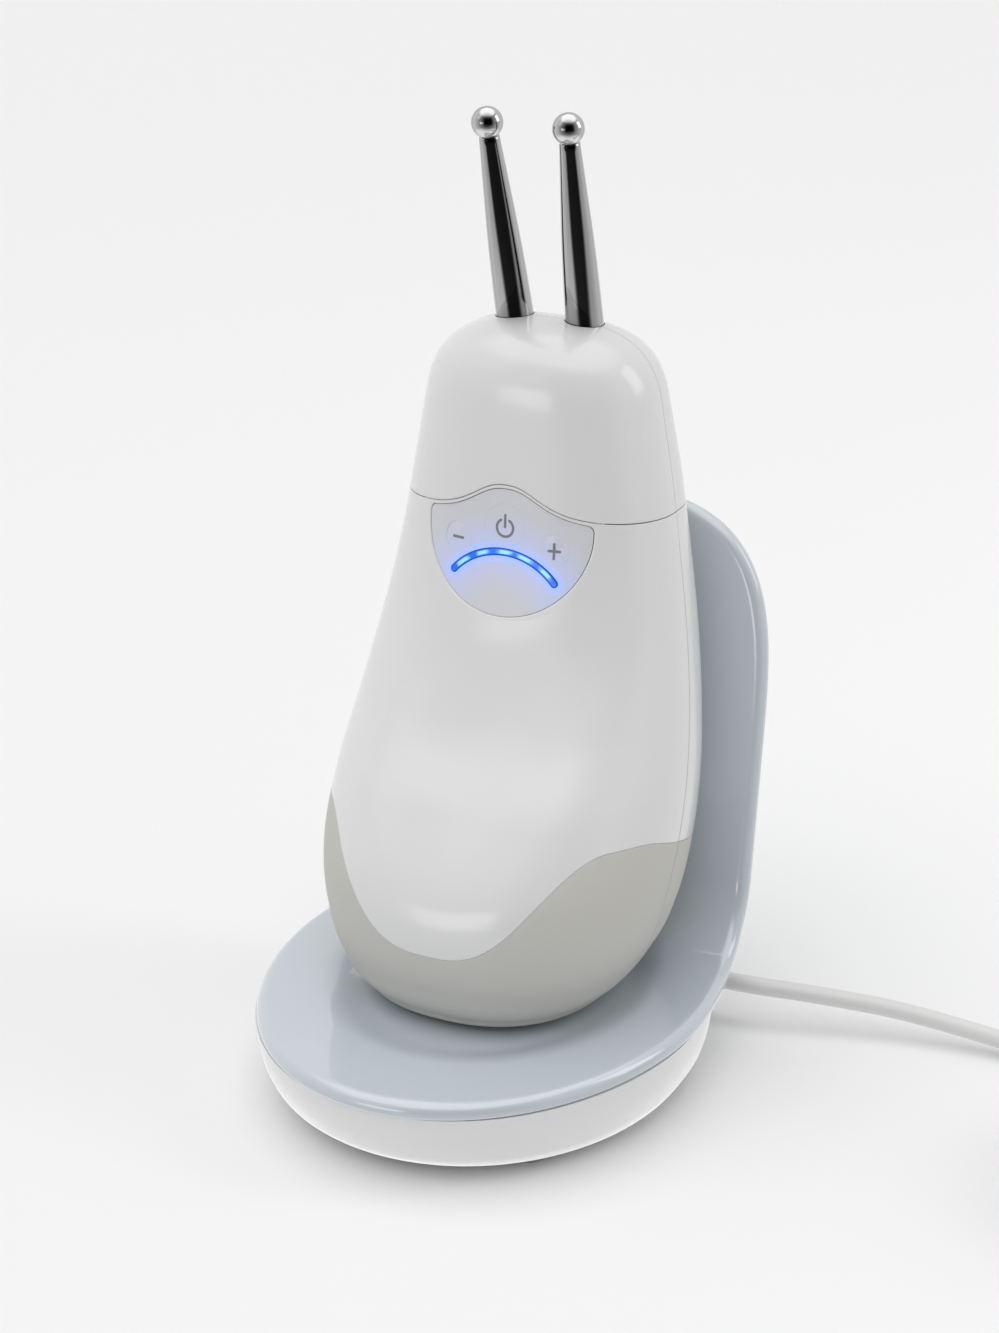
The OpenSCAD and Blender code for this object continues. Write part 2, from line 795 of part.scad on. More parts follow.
// Outline drawn in by a distance at the edge, or by a share of the way to the spine
function unit(v) = v / max(norm(v), 0.001);
function drawn_in(d) = [for (i = [0:ring_n - 1])
    let (a = outline[(i + ring_n - 1) % ring_n], b = outline[(i + 1) % ring_n], t = unit(b - a))
    outline[i] + d * [-t[1], t[0]]];
function shrunk(k) = [for (p = outline) p + k * (spine(p) - p)];

// Point of the bent sheet: x across, s along, h above the upper surface
function bent(x, s, h) =
    s <= tray_len ? [x, s - cradle_d / 2, tray_top + h]
    : s <= tray_len + bend_len
        ? let (t = (s - tray_len) / bend_len * sheet_rise, r = bend_r - h)
          [x, bend_y + r * sin(t), tray_top + bend_r - r * cos(t)]
    : let (u = s - tray_len - bend_len)
      [x, plate_foot[0] + u * sin(plate_lean) - h * cos(plate_lean),
       plate_foot[1] + u * cos(plate_lean) + h * sin(plate_lean)];

rim_r = 1.1;
function lay(ring, h) = [for (p = ring) bent(p[0], p[1], h)];
sheet_rings = [
    lay(shrunk(0.86), 0), lay(shrunk(0.6), 0), lay(shrunk(0.3), 0), lay(drawn_in(rim_r), 0),
    lay(drawn_in(rim_r * 0.3), -rim_r * 0.3), lay(outline, -rim_r),
    lay(outline, -sheet_t + rim_r * 0.5), lay(drawn_in(rim_r * 0.5), -sheet_t),
    lay(shrunk(0.3), -sheet_t), lay(shrunk(0.6), -sheet_t), lay(shrunk(0.86), -sheet_t)
];
// Faces that close a ring from side to side
function spine_faces(first, n, flip) = [for (i = [0:n / 2 - 1])
    let (l0 = (n - i) % n, l1 = n - i - 1,
         q = i == 0 ? [0, 1, l1] : i == n / 2 - 1 ? [i, i + 1, l0] : [i, i + 1, l1, l0])
    for (f = len(q) == 4 ? [[q[0], q[1], q[2]], [q[0], q[2], q[3]]] : [q])
    flip ? [first + f[2], first + f[1], first + f[0]] : [first + f[0], first + f[1], first + f[2]]];
// Solid over rings that are laid on the bent sheet, from the top ring to the bottom ring
module laid_solid(rings) {
    n = len(rings);
    m = len(rings[0]);
    polyhedron(
        [for (r = rings) each r],
        concat(
            spine_faces(0, m, true),
            [for (i = [0:n - 2], j = [0:m - 1])
                [i * m + j, i * m + (j + 1) % m, (i + 1) * m + (j + 1) % m]],
            [for (i = [0:n - 2], j = [0:m - 1])
                [i * m + j, (i + 1) * m + (j + 1) % m, (i + 1) * m + j]],
            spine_faces((n - 1) * m, m, false)
        )
    );
}

// Oval hollow round the handset, which runs on into the bend
hollow_size = [30.5, 36];
hollow_s = 52.5;
hollow_steps = 18;
function oval(k) = closed([for (i = [0:hollow_steps]) let (t = 180 * i / hollow_steps)
    [i == 0 || i == hollow_steps ? 0 : hollow_size[0] * k * sin(t), hollow_s - hollow_size[1] * k * cos(t)]]);
module hollow() {
    laid_solid([
        lay(oval(1.01), 1), lay(oval(1), 0.05), lay(oval(0.97), -hollow_depth * 0.35),
        lay(oval(0.93), -hollow_depth * 0.85), lay(oval(0.88), -hollow_depth)
    ]);
}

// Screw posts under the tray, over the base plate
post_places = [[-25, -17], [25, -17], [-24, 16], [24, 16]];
screw_post = 6.4;
plate_z = foot_h;
base_plate_t = 2;
module at_posts() {
    for (p = post_places) translate([p[0], p[1], 0]) children();
}
module pin_holes() {
    for (side = [-1, 1]) translate([side * pad_x, seat_y + pad_y, tray_top - sheet_t - 4])
        cylinder(d = pin_dia + 2 * seat_gap, h = 12, $fn = 32);
}
module cradle_tray() {
    color(steel_blue) as_mesh() difference() {
        union() {
            laid_solid(sheet_rings);
            at_posts() translate([0, 0, plate_z + base_plate_t + fit])
                cylinder(d = screw_post, h = tray_top - sheet_t + 0.5 - plate_z - base_plate_t - fit, $fn = 24);
        }
        at_posts() translate([0, 0, 0]) cylinder(d = 2.2, h = tray_top - sheet_t - 1, $fn = 16);
        hollow();
        seated() form_solid(-seat_gap);
        pin_holes();
    }
}

// Base shell: sections in plan that widen from the floor to the tray
base_mid = 2;
base_steps = 36;
base_top = tray_top - sheet_t;
base_power = 2.9;
// Share of the height, and how far each section is drawn in at the front, sides and back
base_form = [
    [0, 9.6, 6.2, 6], [0.06, 7.6, 4.6, 4.6], [0.2, 4.8, 2.9, 3.2], [0.45, 2.3, 1.5, 1.8],
    [0.75, 0.9, 0.7, 0.8], [1, 0.5, 0.4, 0.4]
];
base_back = plate_foot[0] - 2.4;
function base_ring(s, inset, z) =
    let (a = tray_w / 2 - s[2] - inset, f = cradle_d / 2 + base_mid - s[1] - inset, b = base_back - base_mid - s[3] - inset)
    [for (i = [0:base_steps - 1]) let (t = 360 * i / base_steps)
        [a * spow(cos(t), t < 180 ? 2 / base_power : 1),
         base_mid + (t < 180 ? b * spow(sin(t), 2 / base_power) : f * sin(t)), z]];
module base_solid(inset = 0, low = 0) {
    rings = concat(
        [for (s = base_form) base_ring(s, inset, foot_h + low + (base_top - foot_h - low) * s[0])],
        [base_ring(base_form[len(base_form) - 1], inset, base_top + 12)]
    );
    polyhedron([for (r = rings) each r], skin(len(rings), base_steps));
}
// Everything above the underside of the sheet
profile_steps = 14;
module above_sheet(gap) {
    t = sheet_t + gap;
    across(2 * reach) polygon(concat(
        [[-reach, tray_top + reach], [-reach, tray_top - t]],
        [for (i = [0:profile_steps])
            let (p = bent(0, tray_len + bend_len * i / profile_steps, -t)) [p[1], p[2]]],
        [let (p = bent(0, sheet_len, -t)) [p[1], p[2]], [reach, tray_top + reach]]
    ));
}
// Housing behind the base from which the cord leaves to the right
relief_z = 8;
relief_y = base_back + 4.1;
relief_x = 13;
boss_w = 27;
boss_from = base_mid + 12;
boss_back = relief_y + 6.6;
boss_h = 12.6;
boss_r = 3;
module cord_boss(inset = 0) {
    translate([0, 0, foot_h]) linear_extrude(boss_h - inset) offset(r = boss_r - inset) offset(r = -boss_r)
        translate([relief_x - boss_w, boss_from]) square([boss_w, boss_back - boss_from]);
}
module base_shell() {
    color(white) as_mesh() difference() {
        union() {
            base_solid();
            cord_boss();
        }
        base_solid(base_wall, -0.5);
        translate([0, 0, -0.1]) cord_boss(base_wall);
        above_sheet(fit);
        translate([relief_x - base_wall - 1, relief_y, relief_z]) rotate([0, 90, 0])
            cylinder(d = relief_neck + 2 * fit, h = base_wall + 2, $fn = 32);
    }
}

module plate_outline() {
    offset(delta = -fit - 0.1) union() {
        polygon([for (p = base_ring(base_form[0], base_wall - 0.8, 0)) [p[0], p[1]]]);
        offset(r = boss_r - base_wall) offset(r = -boss_r)
            translate([relief_x - boss_w, boss_from]) square([boss_w, boss_back - boss_from]);
    }
}
module base_plate() {
    color("#E6E6E5") difference() {
        translate([0, 0, plate_z]) linear_extrude(base_plate_t) plate_outline();
        at_posts() {
            translate([0, 0, plate_z - 1]) cylinder(d = 2.6, h = 6, $fn = 24);
            translate([0, 0, plate_z - 0.01]) cylinder(d1 = 4.8, d2 = 2.6, h = 1.1, $fn = 24);
        }
    }
}
foot_places = [[-22, -26], [22, -26], [-26, 24], [26, 24]];
module rubber_feet() {
    color("#4A4C4F") for (p = foot_places) translate([p[0], p[1], 0])
        rotate_extrude($fn = 48) polygon([
            [0, 0], [foot_dia / 2 - 0.4, 0], [foot_dia / 2, 0.4], [foot_dia / 2, foot_h], [0, foot_h]
        ]);
}
module base_screws() {
    color("#B8BABC") at_posts() translate([0, 0, plate_z + 0.05]) rotate_extrude($fn = 24) polygon([
        [0, 0], [2.2, 0], [1, 1], [1, 8.5], [0.6, 9], [0, 9]
    ]);
}
weight_size = [34, 22, 5];
weight_from = 13.6 - cradle_d / 2;
module base_weight() {
    color("#85888B") translate([-weight_size[0] / 2, weight_from, plate_z + base_plate_t + fit]) cube(weight_size);
}

// Contact board under the seat, with the two pins that reach the handset
contact_board_z = 9;
module contact_board() {
    color("#2E6B45") difference() {
        translate([-13, seat_y + pad_y - 7, contact_board_z]) cube([26, 14, 1.6]);
        for (side = [-1, 1]) translate([side * pad_x, seat_y + pad_y, contact_board_z - 1])
            cylinder(d = pin_dia + 2 * fit, h = 4, $fn = 32);
    }
    color("#2E6B45") for (side = [-1, 1])
        translate([side * 11, seat_y + pad_y, plate_z + base_plate_t + fit])
            cylinder(d = 3, h = contact_board_z - plate_z - base_plate_t - fit, $fn = 24);
}
module charge_pins() {
    top = seat_z + pad_rise - seat_gap;
    color("#C9A24B") for (side = [-1, 1]) translate([side * pad_x, seat_y + pad_y, 0])
        rotate_extrude($fn = 32) polygon([
            [0, contact_board_z - 0.8], [pin_dia / 2, contact_board_z - 0.8], [pin_dia / 2, contact_board_z + 1.6],
            [pin_dia / 2 + 0.8, contact_board_z + 1.6], [pin_dia / 2 + 0.8, contact_board_z + 2.6],
            [pin_dia / 2, contact_board_z + 2.6], [pin_dia / 2, top - 0.6], [pin_dia / 2 - 0.5, top], [0, top]
        ]);
}

// ---- cord ---------------------------------------------------------------------------------

relief_neck = 5.4;
relief_end = relief_x + relief_len;
module strain_relief() {
    color("#EDEDEC") translate([relief_x, relief_y, relief_z]) rotate([0, 90, 0]) rotate_extrude($fn = 40) polygon(concat(
        [[0, -base_wall - 0.9], [3.4, -base_wall - 0.9], [3.4, -base_wall - 0.1], [relief_neck / 2, -base_wall - 0.1],
         [relief_neck / 2, 0], [3.6, 0], [3.6, 1.6]],
        [for (i = [0:4]) for (e = [[0, 3.1 - 0.22 * i], [1.4, 3.1 - 0.22 * i], [1.4, 2.6 - 0.14 * i], [2.6, 2.55 - 0.14 * i]])
            [e[1], 2.2 + 3.2 * i + e[0]]],
        [[cord_dia / 2 + 0.25, relief_len - 1.5], [cord_dia / 2 + 0.25, relief_len], [0, relief_len]]
    ));
}

// Middle of the coil, and the height of its lowest turn over the strap that ties it
coil_mid = [134, 13.2];
coil_turns = 3;
coil_layers = 4;
layer_step = 3.95;
tie_t = 0.5;
coil_z = cord_dia / 2 + tie_t + 0.15;
coil_out = coil_r + coil_turns * coil_pitch / 2;
coil_rings = 24;
coil_tail = 8;

// Route of the cord from the strain relief to the coil
route = [
    [35, 36.6, 8], [39, 36.7, 8], [43, 37.4, 7.8], [48, 38.8, 7.5], [54, 40.4, 7],
    [60, 42, 6.4], [66, 43.4, 5.8], [73, 44.4, 5], [80, 45, 4.2], [88, 45.2, 3.4],
    [96, 45, 2.8], [104, 44.2, 2.4], [112, 42.6, 2.4], [120, 41, 2.4], [128, 40.1, 2.4],
    [134, 40, 2.4]
];
// Smooth path through the route's points
function knot(p, i) = p[min(len(p) - 1, max(0, i))];
function along(p, i, u) =
    let (a = knot(p, i - 1), b = knot(p, i), c = knot(p, i + 1), d = knot(p, i + 2))
    0.5 * (2 * b + (c - a) * u + (2 * a - 5 * b + 4 * c - d) * u * u + (3 * b - a - 3 * c + d) * pow(u, 3));
run_start = [relief_end, relief_y, relief_z];
run_end = [coil_mid[0], coil_mid[1] + coil_out, coil_z];
run_stub = [cord_dia / 2, 0, 0];
run_points = concat([run_start + run_stub], [for (i = [1:len(route) - 2]) route[i]], [run_end]);
run_path = concat(
    [run_start],
    [for (i = [0:len(run_points) - 2]) for (u = [0, 0.5]) along(run_points, i, u)],
    [run_end]
);
// Coil: the turns spiral in and out again, and climb a layer in the half turn where they reverse
function layer_of(t) = let (k = floor(t / coil_turns + 0.5), e = t - k * coil_turns)
    k <= 0 ? 0 : k >= coil_layers ? coil_layers - 1 : k - 1 + ease((e + 0.25) / 0.5);
function coil_radius(t) = let (k = floor(t / coil_turns), e = t - k * coil_turns)
    k % 2 == 0 ? coil_out - coil_pitch * e : coil_out - coil_pitch * (coil_turns - e);
coil_total = coil_turns * coil_layers;
function coil_point(t) =
    [coil_mid[0] + coil_radius(t) * sin(360 * t), coil_mid[1] + coil_radius(t) * cos(360 * t),
     coil_z + layer_step * layer_of(t)];
coil_end = coil_point(coil_total);
coil_path = concat(
    [run_end, run_end + [cord_dia, 0, 0]],
    [for (i = [1:coil_total * coil_rings - 1]) let (p = coil_point(i / coil_rings)) if (i > 1 || p[0] > run_end[0] + cord_dia + 1) p],
    [coil_end + [0.01, 0, 0], coil_end + [coil_tail, 0, 0]]
);

// Tube of n sides swept along a path, with square ends
function tangent(p, i) = unit(p[min(i + 1, len(p) - 1)] - p[max(i - 1, 0)]);
module tube(path, d, n) {
    m = len(path);
    rings = [for (i = [0:m - 1])
        let (t = tangent(path, i), side = unit(cross([0, 0, 1], t)), up = cross(t, side))
        [for (j = [0:n - 1]) let (q = 360 * (j + 0.5) / n) path[i] + d / 2 * (side * cos(q) + up * sin(q))]];
    polyhedron([for (r = rings) each r], concat(
        [[for (j = [0:n - 1]) j]],
        [for (i = [0:m - 2], j = [0:n - 1]) [i * n + j, (i + 1) * n + j, (i + 1) * n + (j + 1) % n]],
        [for (i = [0:m - 2], j = [0:n - 1]) [i * n + j, (i + 1) * n + (j + 1) % n, i * n + (j + 1) % n]],
        [[for (j = [n - 1:-1:0]) (m - 1) * n + j]]
    ));
}
module cord_run() {
    color("#F1F1F0") tube(run_path, cord_dia, 8);
}
module cord_coil() {
    color("#F1F1F0") tube(coil_path, cord_dia, 6);
}

// Least gap of the coil to itself, from one turn on
coil_dense = [for (i = [0:coil_total * 12]) coil_point(i / 12)];
coil_gap = min([for (i = [0:len(coil_dense) - 1]) for (j = [i + 6:len(coil_dense) - 1]) norm(coil_dense[i] - coil_dense[j])]) - cord_dia;
path_len = [for (i = [0, 1]) let (p = i == 0 ? run_path : coil_path)
    [for (s = 0, k = 0; k < len(p); s = s + (k < len(p) - 1 ? norm(p[k + 1] - p[k]) : 0), k = k + 1) s]];
echo(coil_gap = coil_gap, cord_length = path_len[0][len(run_path) - 1] + path_len[1][len(coil_path) - 1]);

// Strap round the turns at the front of the coil
tie_w = 6;
module cord_tie() {
    low = coil_out - coil_turns * coil_pitch - cord_dia / 2 - 0.35;
    high = coil_out + cord_dia / 2 + 0.35;
    top = coil_z + (coil_layers - 1) * layer_step + cord_dia / 2 + 0.35;
    base = coil_z - cord_dia / 2 - 0.1;
    color("#2B2D30") translate([coil_mid[0] + tie_w / 2, coil_mid[1], 0]) rotate([90, 0, -90]) linear_extrude(tie_w) difference() {
        translate([low - tie_t, base - tie_t + 0.02]) square([high - low + 2 * tie_t, top - base + 2 * tie_t]);
        translate([low, base]) square([high - low, top - base]);
    }
}

// Wall plug at the end of the cord
plug_start = coil_end + [coil_tail, 0, 0];
plug_relief_len = 20;
plug_size = [38, 24, 2 * plug_start[2]];
plug_r = 3;
module plug_relief() {
    color("#EDEDEC") translate(plug_start) rotate([0, 90, 0]) rotate_extrude($fn = 40) polygon([
        [0, 0], [cord_dia / 2 + 0.4, 0], [cord_dia / 2 + 0.5, 4], [3.2, 14], [3.8, plug_relief_len], [0, plug_relief_len]
    ]);
}
module plug_body() {
    color("#F1F1F0") translate([plug_start[0] + plug_relief_len, plug_start[1], plug_start[2]]) rotate([90, 0, 90])
        hull() {
            translate([0, 0, 0]) linear_extrude(plug_size[0] - 3) offset(r = plug_r, $fn = 32)
                square([plug_size[1] - 2 * plug_r, plug_size[2] - 2 * plug_r], center = true);
            translate([0, 0, plug_size[0] - 3]) linear_extrude(3) offset(r = plug_r - 1, $fn = 32)
                square([plug_size[1] - 2 * plug_r, plug_size[2] - 2 * plug_r], center = true);
        }
}
blade = [15.5, 1.5, 6.3];
blade_pitch = 12.7;
module plug_blades() {
    color("#B8BABC") for (side = [-1, 1])
        translate([plug_start[0] + plug_relief_len + plug_size[0], plug_start[1] + side * blade_pitch / 2 - blade[1] / 2, plug_start[2] - blade[2] / 2])
            difference() {
                cube(blade);
                translate([12, -1, blade[2] / 2]) rotate([-90, 0, 0]) cylinder(d = 3, h = 4, $fn = 24);
            }
}

front_shell();
rear_shell();
front_grip();
rear_grip();
control_panel();
light_arc();
power_button();
minus_button();
plus_button();
main_board();
board_screws();
tact_switches();
leds();
boost_coil();
buzzer();
battery();
socket_block();
contact_sockets();
charge_pads();
head_front_shell();
head_rear_shell();
head_base();
contact_pins();
rod_carrier();
rod_left();
rod_right();
ball_left();
ball_right();
cradle_tray();
base_shell();
base_plate();
rubber_feet();
base_screws();
base_weight();
contact_board();
charge_pins();
strain_relief();
cord_run();
cord_coil();
cord_tie();
plug_relief();
plug_body();
plug_blades();
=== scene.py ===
"""Facial toning device: a handset with a two-ball probe head, standing in its charging cradle.

Metres, +Z up, the front faces -Y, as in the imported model. Form functions work in millimetres.
"""
import json
import math
from types import SimpleNamespace

import bpy
import numpy as np
from bpy.props import FloatProperty, FloatVectorProperty, PointerProperty
from mathutils import Matrix, Vector


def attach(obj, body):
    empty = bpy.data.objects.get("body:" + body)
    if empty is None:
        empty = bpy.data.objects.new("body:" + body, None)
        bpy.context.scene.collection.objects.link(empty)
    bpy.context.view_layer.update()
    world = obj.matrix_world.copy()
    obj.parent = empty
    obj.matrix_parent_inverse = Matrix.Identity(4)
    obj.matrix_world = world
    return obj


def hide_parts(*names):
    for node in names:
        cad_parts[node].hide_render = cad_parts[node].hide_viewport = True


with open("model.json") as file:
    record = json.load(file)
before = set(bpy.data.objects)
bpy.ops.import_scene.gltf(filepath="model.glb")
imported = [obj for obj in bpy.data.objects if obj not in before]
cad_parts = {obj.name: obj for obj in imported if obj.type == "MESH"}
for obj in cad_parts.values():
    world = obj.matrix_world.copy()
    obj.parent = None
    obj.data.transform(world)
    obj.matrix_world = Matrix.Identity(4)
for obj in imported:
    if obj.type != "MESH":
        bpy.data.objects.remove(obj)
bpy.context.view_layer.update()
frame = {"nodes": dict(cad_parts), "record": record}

bl_info = {
    "name": "Facial toning device",
    "version": (1, 0, 0),
    "blender": (4, 5, 0),
    "location": "View3D > Sidebar > Toning device",
    "description": "Dresses the packed handset, probe head, charging cradle and cord",
    "category": "Add Mesh",
}

MM = 0.001


# ---- settings -------------------------------------------------------------------------------

def length(name, description, millimetres):
    """A length property, written in millimetres and kept in metres."""
    return FloatProperty(name=name, description=description, default=millimetres * MM, min=0.0, precision=5,
                         unit="LENGTH")


def angle(name, description, degrees):
    """An angle property, written in degrees and kept in radians."""
    return FloatProperty(name=name, description=description, default=math.radians(degrees), subtype="ANGLE")


def share(name, description, default, high=1.0):
    """A plain number from 0 up."""
    return FloatProperty(name=name, description=description, default=default, min=0.0, max=high,
                         subtype="FACTOR")


def colour(name, description, red, green, blue):
    """A linear colour."""
    return FloatVectorProperty(name=name, description=description, default=(red, green, blue), size=3,
                               min=0.0, max=1.0, subtype="COLOR")


class HandsetSizes(bpy.types.PropertyGroup):
    height: length("Height", "Height that the handset's stations are drawn for", 125)
    crown_drop: length("Crown drop", "How far the flattened crown stays below the full height", 3)
    width: length("Width", "Width across the handset at its widest", 67)
    depth: length("Depth", "Depth of the handset from its belly to its back", 64)
    shell_wall: length("Shell wall", "Wall of the white housing shells", 2.2)
    grip_t: length("Grip", "Thickness of the soft grip moulded over the shells", 1)
    dish_depth: length("Thumb dish", "Depth of the dish pressed into the lower front", 3.6)
    seam_gap: length("Side seam", "Gap between the front and rear shells", 0.14)
    grip_gap: length("Grip line", "Gap between the grip and the white shell above it", 0.07)
    head_gap: length("Head gap", "Gap between the probe head and the handset body", 0.2)
    edge_round: length("Edge rounding", "Rounding of the shells' edges", 0.1)


class PanelSizes(bpy.types.PropertyGroup):
    width: length("Width", "Width of the shield-shaped control panel", 32.2)
    drop: length("Drop", "Height of the rounded lower part of the panel", 15.4)
    film_t: length("Film", "Thickness of the panel film", 0.8)
    sink: length("Sink", "How far the film lies below the housing surface", 0.25)
    lip: length("Lip", "Width of the rounded lip round the film", 0.5)
    power_dia: length("Power cap", "Diameter of the power button's cap", 7.9)
    level_dia: length("Level caps", "Diameter of the minus and plus buttons' caps", 5.7)
    arc_r: length("Arc radius", "Mean radius of the light arc", 13.2)
    arc_w: length("Arc width", "Width of the light arc", 1.4)
    arc_half: angle("Arc half angle", "Half the angle that the light arc spans", 49)
    stroke: length("Stroke", "Width of the printed strokes", 0.47)
    cap_gap: length("Cap gap", "Clearance round each button's cap", 0.012)


class ProbeSizes(bpy.types.PropertyGroup):
    rod_len: length("Rod length", "Length of each rod from the crown to the middle of its ball", 36)
    rod_dia: length("Rod diameter", "Diameter of each rod where it leaves the head", 7)
    rod_root: length("Rod root", "How far below the rods' reference point the taper starts", 4)
    neck_dia: length("Neck diameter", "Diameter of each rod below its ball", 3.6)
    ball_dia: length("Ball diameter", "Diameter of each probe ball", 5.6)
    pitch: length("Rod pitch", "Distance between the rods where they leave the head", 13.8)
    lean: angle("Lean", "Forward lean of the rods", 15)
    splay: angle("Splay", "Outward lean of each rod", 1.3)


class CradleSizes(bpy.types.PropertyGroup):
    depth: length("Depth", "Depth from the tray's front to the back plate's top", 95.2)
    tray_w: length("Tray width", "Width of the tray", 84)
    plate_w: length("Plate width", "Width of the back plate", 78)
    plate_top: length("Plate top", "Height of the back plate's top", 103)
    tray_top: length("Tray top", "Height of the tray's upper surface", 18)
    sheet_t: length("Sheet", "Thickness of the moulded tray and back plate", 2.8)
    bend_r: length("Bend radius", "Inner radius of the bend between tray and plate", 15)
    plate_lean: angle("Plate lean", "Backward lean of the back plate", 8)
    rim_r: length("Rim radius", "Rounding of the sheet's upper edge", 1.9)
    base_wall: length("Base wall", "Wall of the base shell", 2)
    foot_h: length("Foot height", "Height of the rubber feet", 1.2)
    hollow_depth: length("Hollow depth", "Depth of the soft oval hollow round the handset", 1.2)
    seat_depth: length("Seat depth", "Depth of the seat that takes the handset's foot", 1.8)
    seat_gap: length("Seat gap", "Clearance between the handset and its seat", 0.3)
    lean_gap: length("Lean gap", "Gap between the handset's back and the back plate", 3)


class CordSizes(bpy.types.PropertyGroup):
    diameter: length("Diameter", "Diameter of the cord", 3.5)
    relief_len: length("Strain relief", "Length of the tapered strain relief", 22)
    coil_r: length("Coil radius", "Radius of the coil at the middle of its turns", 20.5)
    coil_pitch: length("Coil pitch", "Distance between neighbouring turns", 4.2)
    layer_step: length("Layer step", "Height of a layer of turns over the one below", 3.95)


class Finishes(bpy.types.PropertyGroup):
    shell_white: colour("Shell white", "Glossy white housing", 0.70, 0.70, 0.70)
    grip_grey: colour("Grip grey", "Matte soft grip", 0.52, 0.515, 0.485)
    film: colour("Panel film", "Film away from the light arc", 0.62, 0.625, 0.66)
    # Painted glow: the film's colour next to the light arc, standing in for the arc's light on it
    film_painted_glow: colour("Film glow", "Film next to the light arc", 0.42, 0.52, 0.98)
    print_grey: colour("Print", "Printed symbols", 0.19, 0.195, 0.21)
    arc_deep: colour("Arc blue", "Light arc between its lamps", 0.003, 0.05, 0.4)
    arc_spot: colour("Arc lamps", "Light arc over its lamps", 0.34, 0.8, 1.0)
    steel: colour("Probe steel", "Polished rods", 0.9, 0.9, 0.91)
    chrome: colour("Ball chrome", "Polished balls", 0.95, 0.95, 0.96)
    cradle_blue: colour("Cradle blue", "Glossy blue-grey sheet", 0.51, 0.56, 0.605)
    cord_white: colour("Cord white", "Cord, strain relief and plug", 0.68, 0.675, 0.67)


class StageSettings(bpy.types.PropertyGroup):
    floor: colour("Floor", "Pale seamless floor", 0.87, 0.87, 0.87)
    sky: share("Sky", "Strength of the even light from all round", 0.55, 4.0)
    sky_camera: share("Background", "Strength of the background seen past the floor", 0.93, 1.0)
    top_light: share("Top light", "Strength of the broad light from above", 1.42, 10.0)
    dark_card: share("Dark card", "Brightness of the dark card that the polished metal mirrors", 0.03)
    window: share("Window", "Brightness of the low window that glossy surfaces mirror", 2.8, 10.0)


class ToningDevice(bpy.types.PropertyGroup):
    handset: PointerProperty(type=HandsetSizes, name="Handset", description="Sizes of the handset")
    panel: PointerProperty(type=PanelSizes, name="Panel", description="Sizes of the control panel")
    probe: PointerProperty(type=ProbeSizes, name="Probe", description="Sizes of the probe")
    cradle: PointerProperty(type=CradleSizes, name="Cradle", description="Sizes of the cradle")
    cord: PointerProperty(type=CordSizes, name="Cord", description="Sizes of the cord")
    finish: PointerProperty(type=Finishes, name="Finishes", description="Colours")
    stage: PointerProperty(type=StageSettings, name="Stage", description="Floor and light")


def in_mm(group):
    """The group's lengths in millimetres and its angles in degrees."""
    values = {}
    for name in type(group).__annotations__:
        if group.bl_rna.properties[name].unit == "ROTATION":
            values[name] = math.degrees(getattr(group, name))
        else:
            values[name] = getattr(group, name) / MM
    return SimpleNamespace(**values)


# ---- making meshes --------------------------------------------------------------------------

def deselect():
    """Leave edit mode and deselect everything."""
    if bpy.context.object and bpy.context.object.mode != "OBJECT":
        bpy.ops.object.mode_set(mode="OBJECT")
    bpy.ops.object.select_all(action="DESELECT")


def pick(piece, *others):
    """Select these pieces alone, the first of them active."""
    deselect()
    for each in (piece, *others):
        each.select_set(True)
    bpy.context.view_layer.objects.active = piece


def edit(piece, *steps):
    """Run edit mode steps on a piece with all of it selected."""
    pick(piece)
    bpy.ops.object.mode_set(mode="EDIT")
    bpy.ops.mesh.select_all(action="SELECT")
    for step in steps:
        step()
    bpy.ops.object.mode_set(mode="OBJECT")


def merge_doubles(distance=2e-6):
    """Weld the selected vertices that lie closer than a distance in metres."""
    bpy.ops.mesh.remove_doubles(threshold=distance)


def face_out():
    """Turn the selected faces of a closed piece outwards."""
    bpy.ops.mesh.normals_make_consistent(inside=False)


def stack(*axes):
    """Points from their coordinates, each of them a number or an array."""
    return np.stack(np.broadcast_arrays(*axes), axis=-1)


def laid_grid(name, points):
    """A primitive grid with its vertices laid over rows and columns of points in millimetres."""
    rows, columns = points.shape[:2]
    deselect()
    bpy.ops.mesh.primitive_grid_add(x_subdivisions=columns - 1, y_subdivisions=rows - 1, size=1)
    piece = bpy.context.object
    piece.name = piece.data.name = name
    flat = np.empty(len(piece.data.vertices) * 3)
    piece.data.vertices.foreach_get("co", flat)
    at = flat.reshape(-1, 3) + 0.5
    column = np.rint(at[:, 0] * (columns - 1)).astype(int)
    row = np.rint(at[:, 1] * (rows - 1)).astype(int)
    piece.data.vertices.foreach_set("co", (points[row, column] * MM).ravel())
    piece.data.update()
    return piece


def closed_grid(name, points):
    """A laid grid whose ends meet, welded into a closed piece that faces out."""
    piece = laid_grid(name, np.asarray(points))
    edit(piece, merge_doubles, face_out)
    return piece


def turn_out(piece, centre):
    """Turn an open sheet's faces away from a point in millimetres."""
    out = 0.0
    for face in piece.data.polygons:
        out += face.area * face.normal.dot(face.center - Vector(centre) * MM)
    if out < 0:
        edit(piece, bpy.ops.mesh.flip_normals)


def join(piece, *others):
    """Join pieces into the first one."""
    pick(piece, *others)
    bpy.ops.object.join()
    return piece


def modify(piece, kind, **values):
    """Add a modifier with these values and apply it."""
    pick(piece)
    modifier = piece.modifiers.new(kind.title(), kind)
    for name, value in values.items():
        setattr(modifier, name, value)
    bpy.ops.object.modifier_apply(modifier=modifier.name)


def thicken(piece, wall, edge=0.0):
    """Give an open sheet a wall towards its inside, in millimetres, and round the wall's edges."""
    modify(piece, "SOLIDIFY", thickness=wall * MM, offset=-1, use_even_offset=True, use_quality_normals=True,
           thickness_clamp=0)
    if edge:
        round_edges(piece, edge)


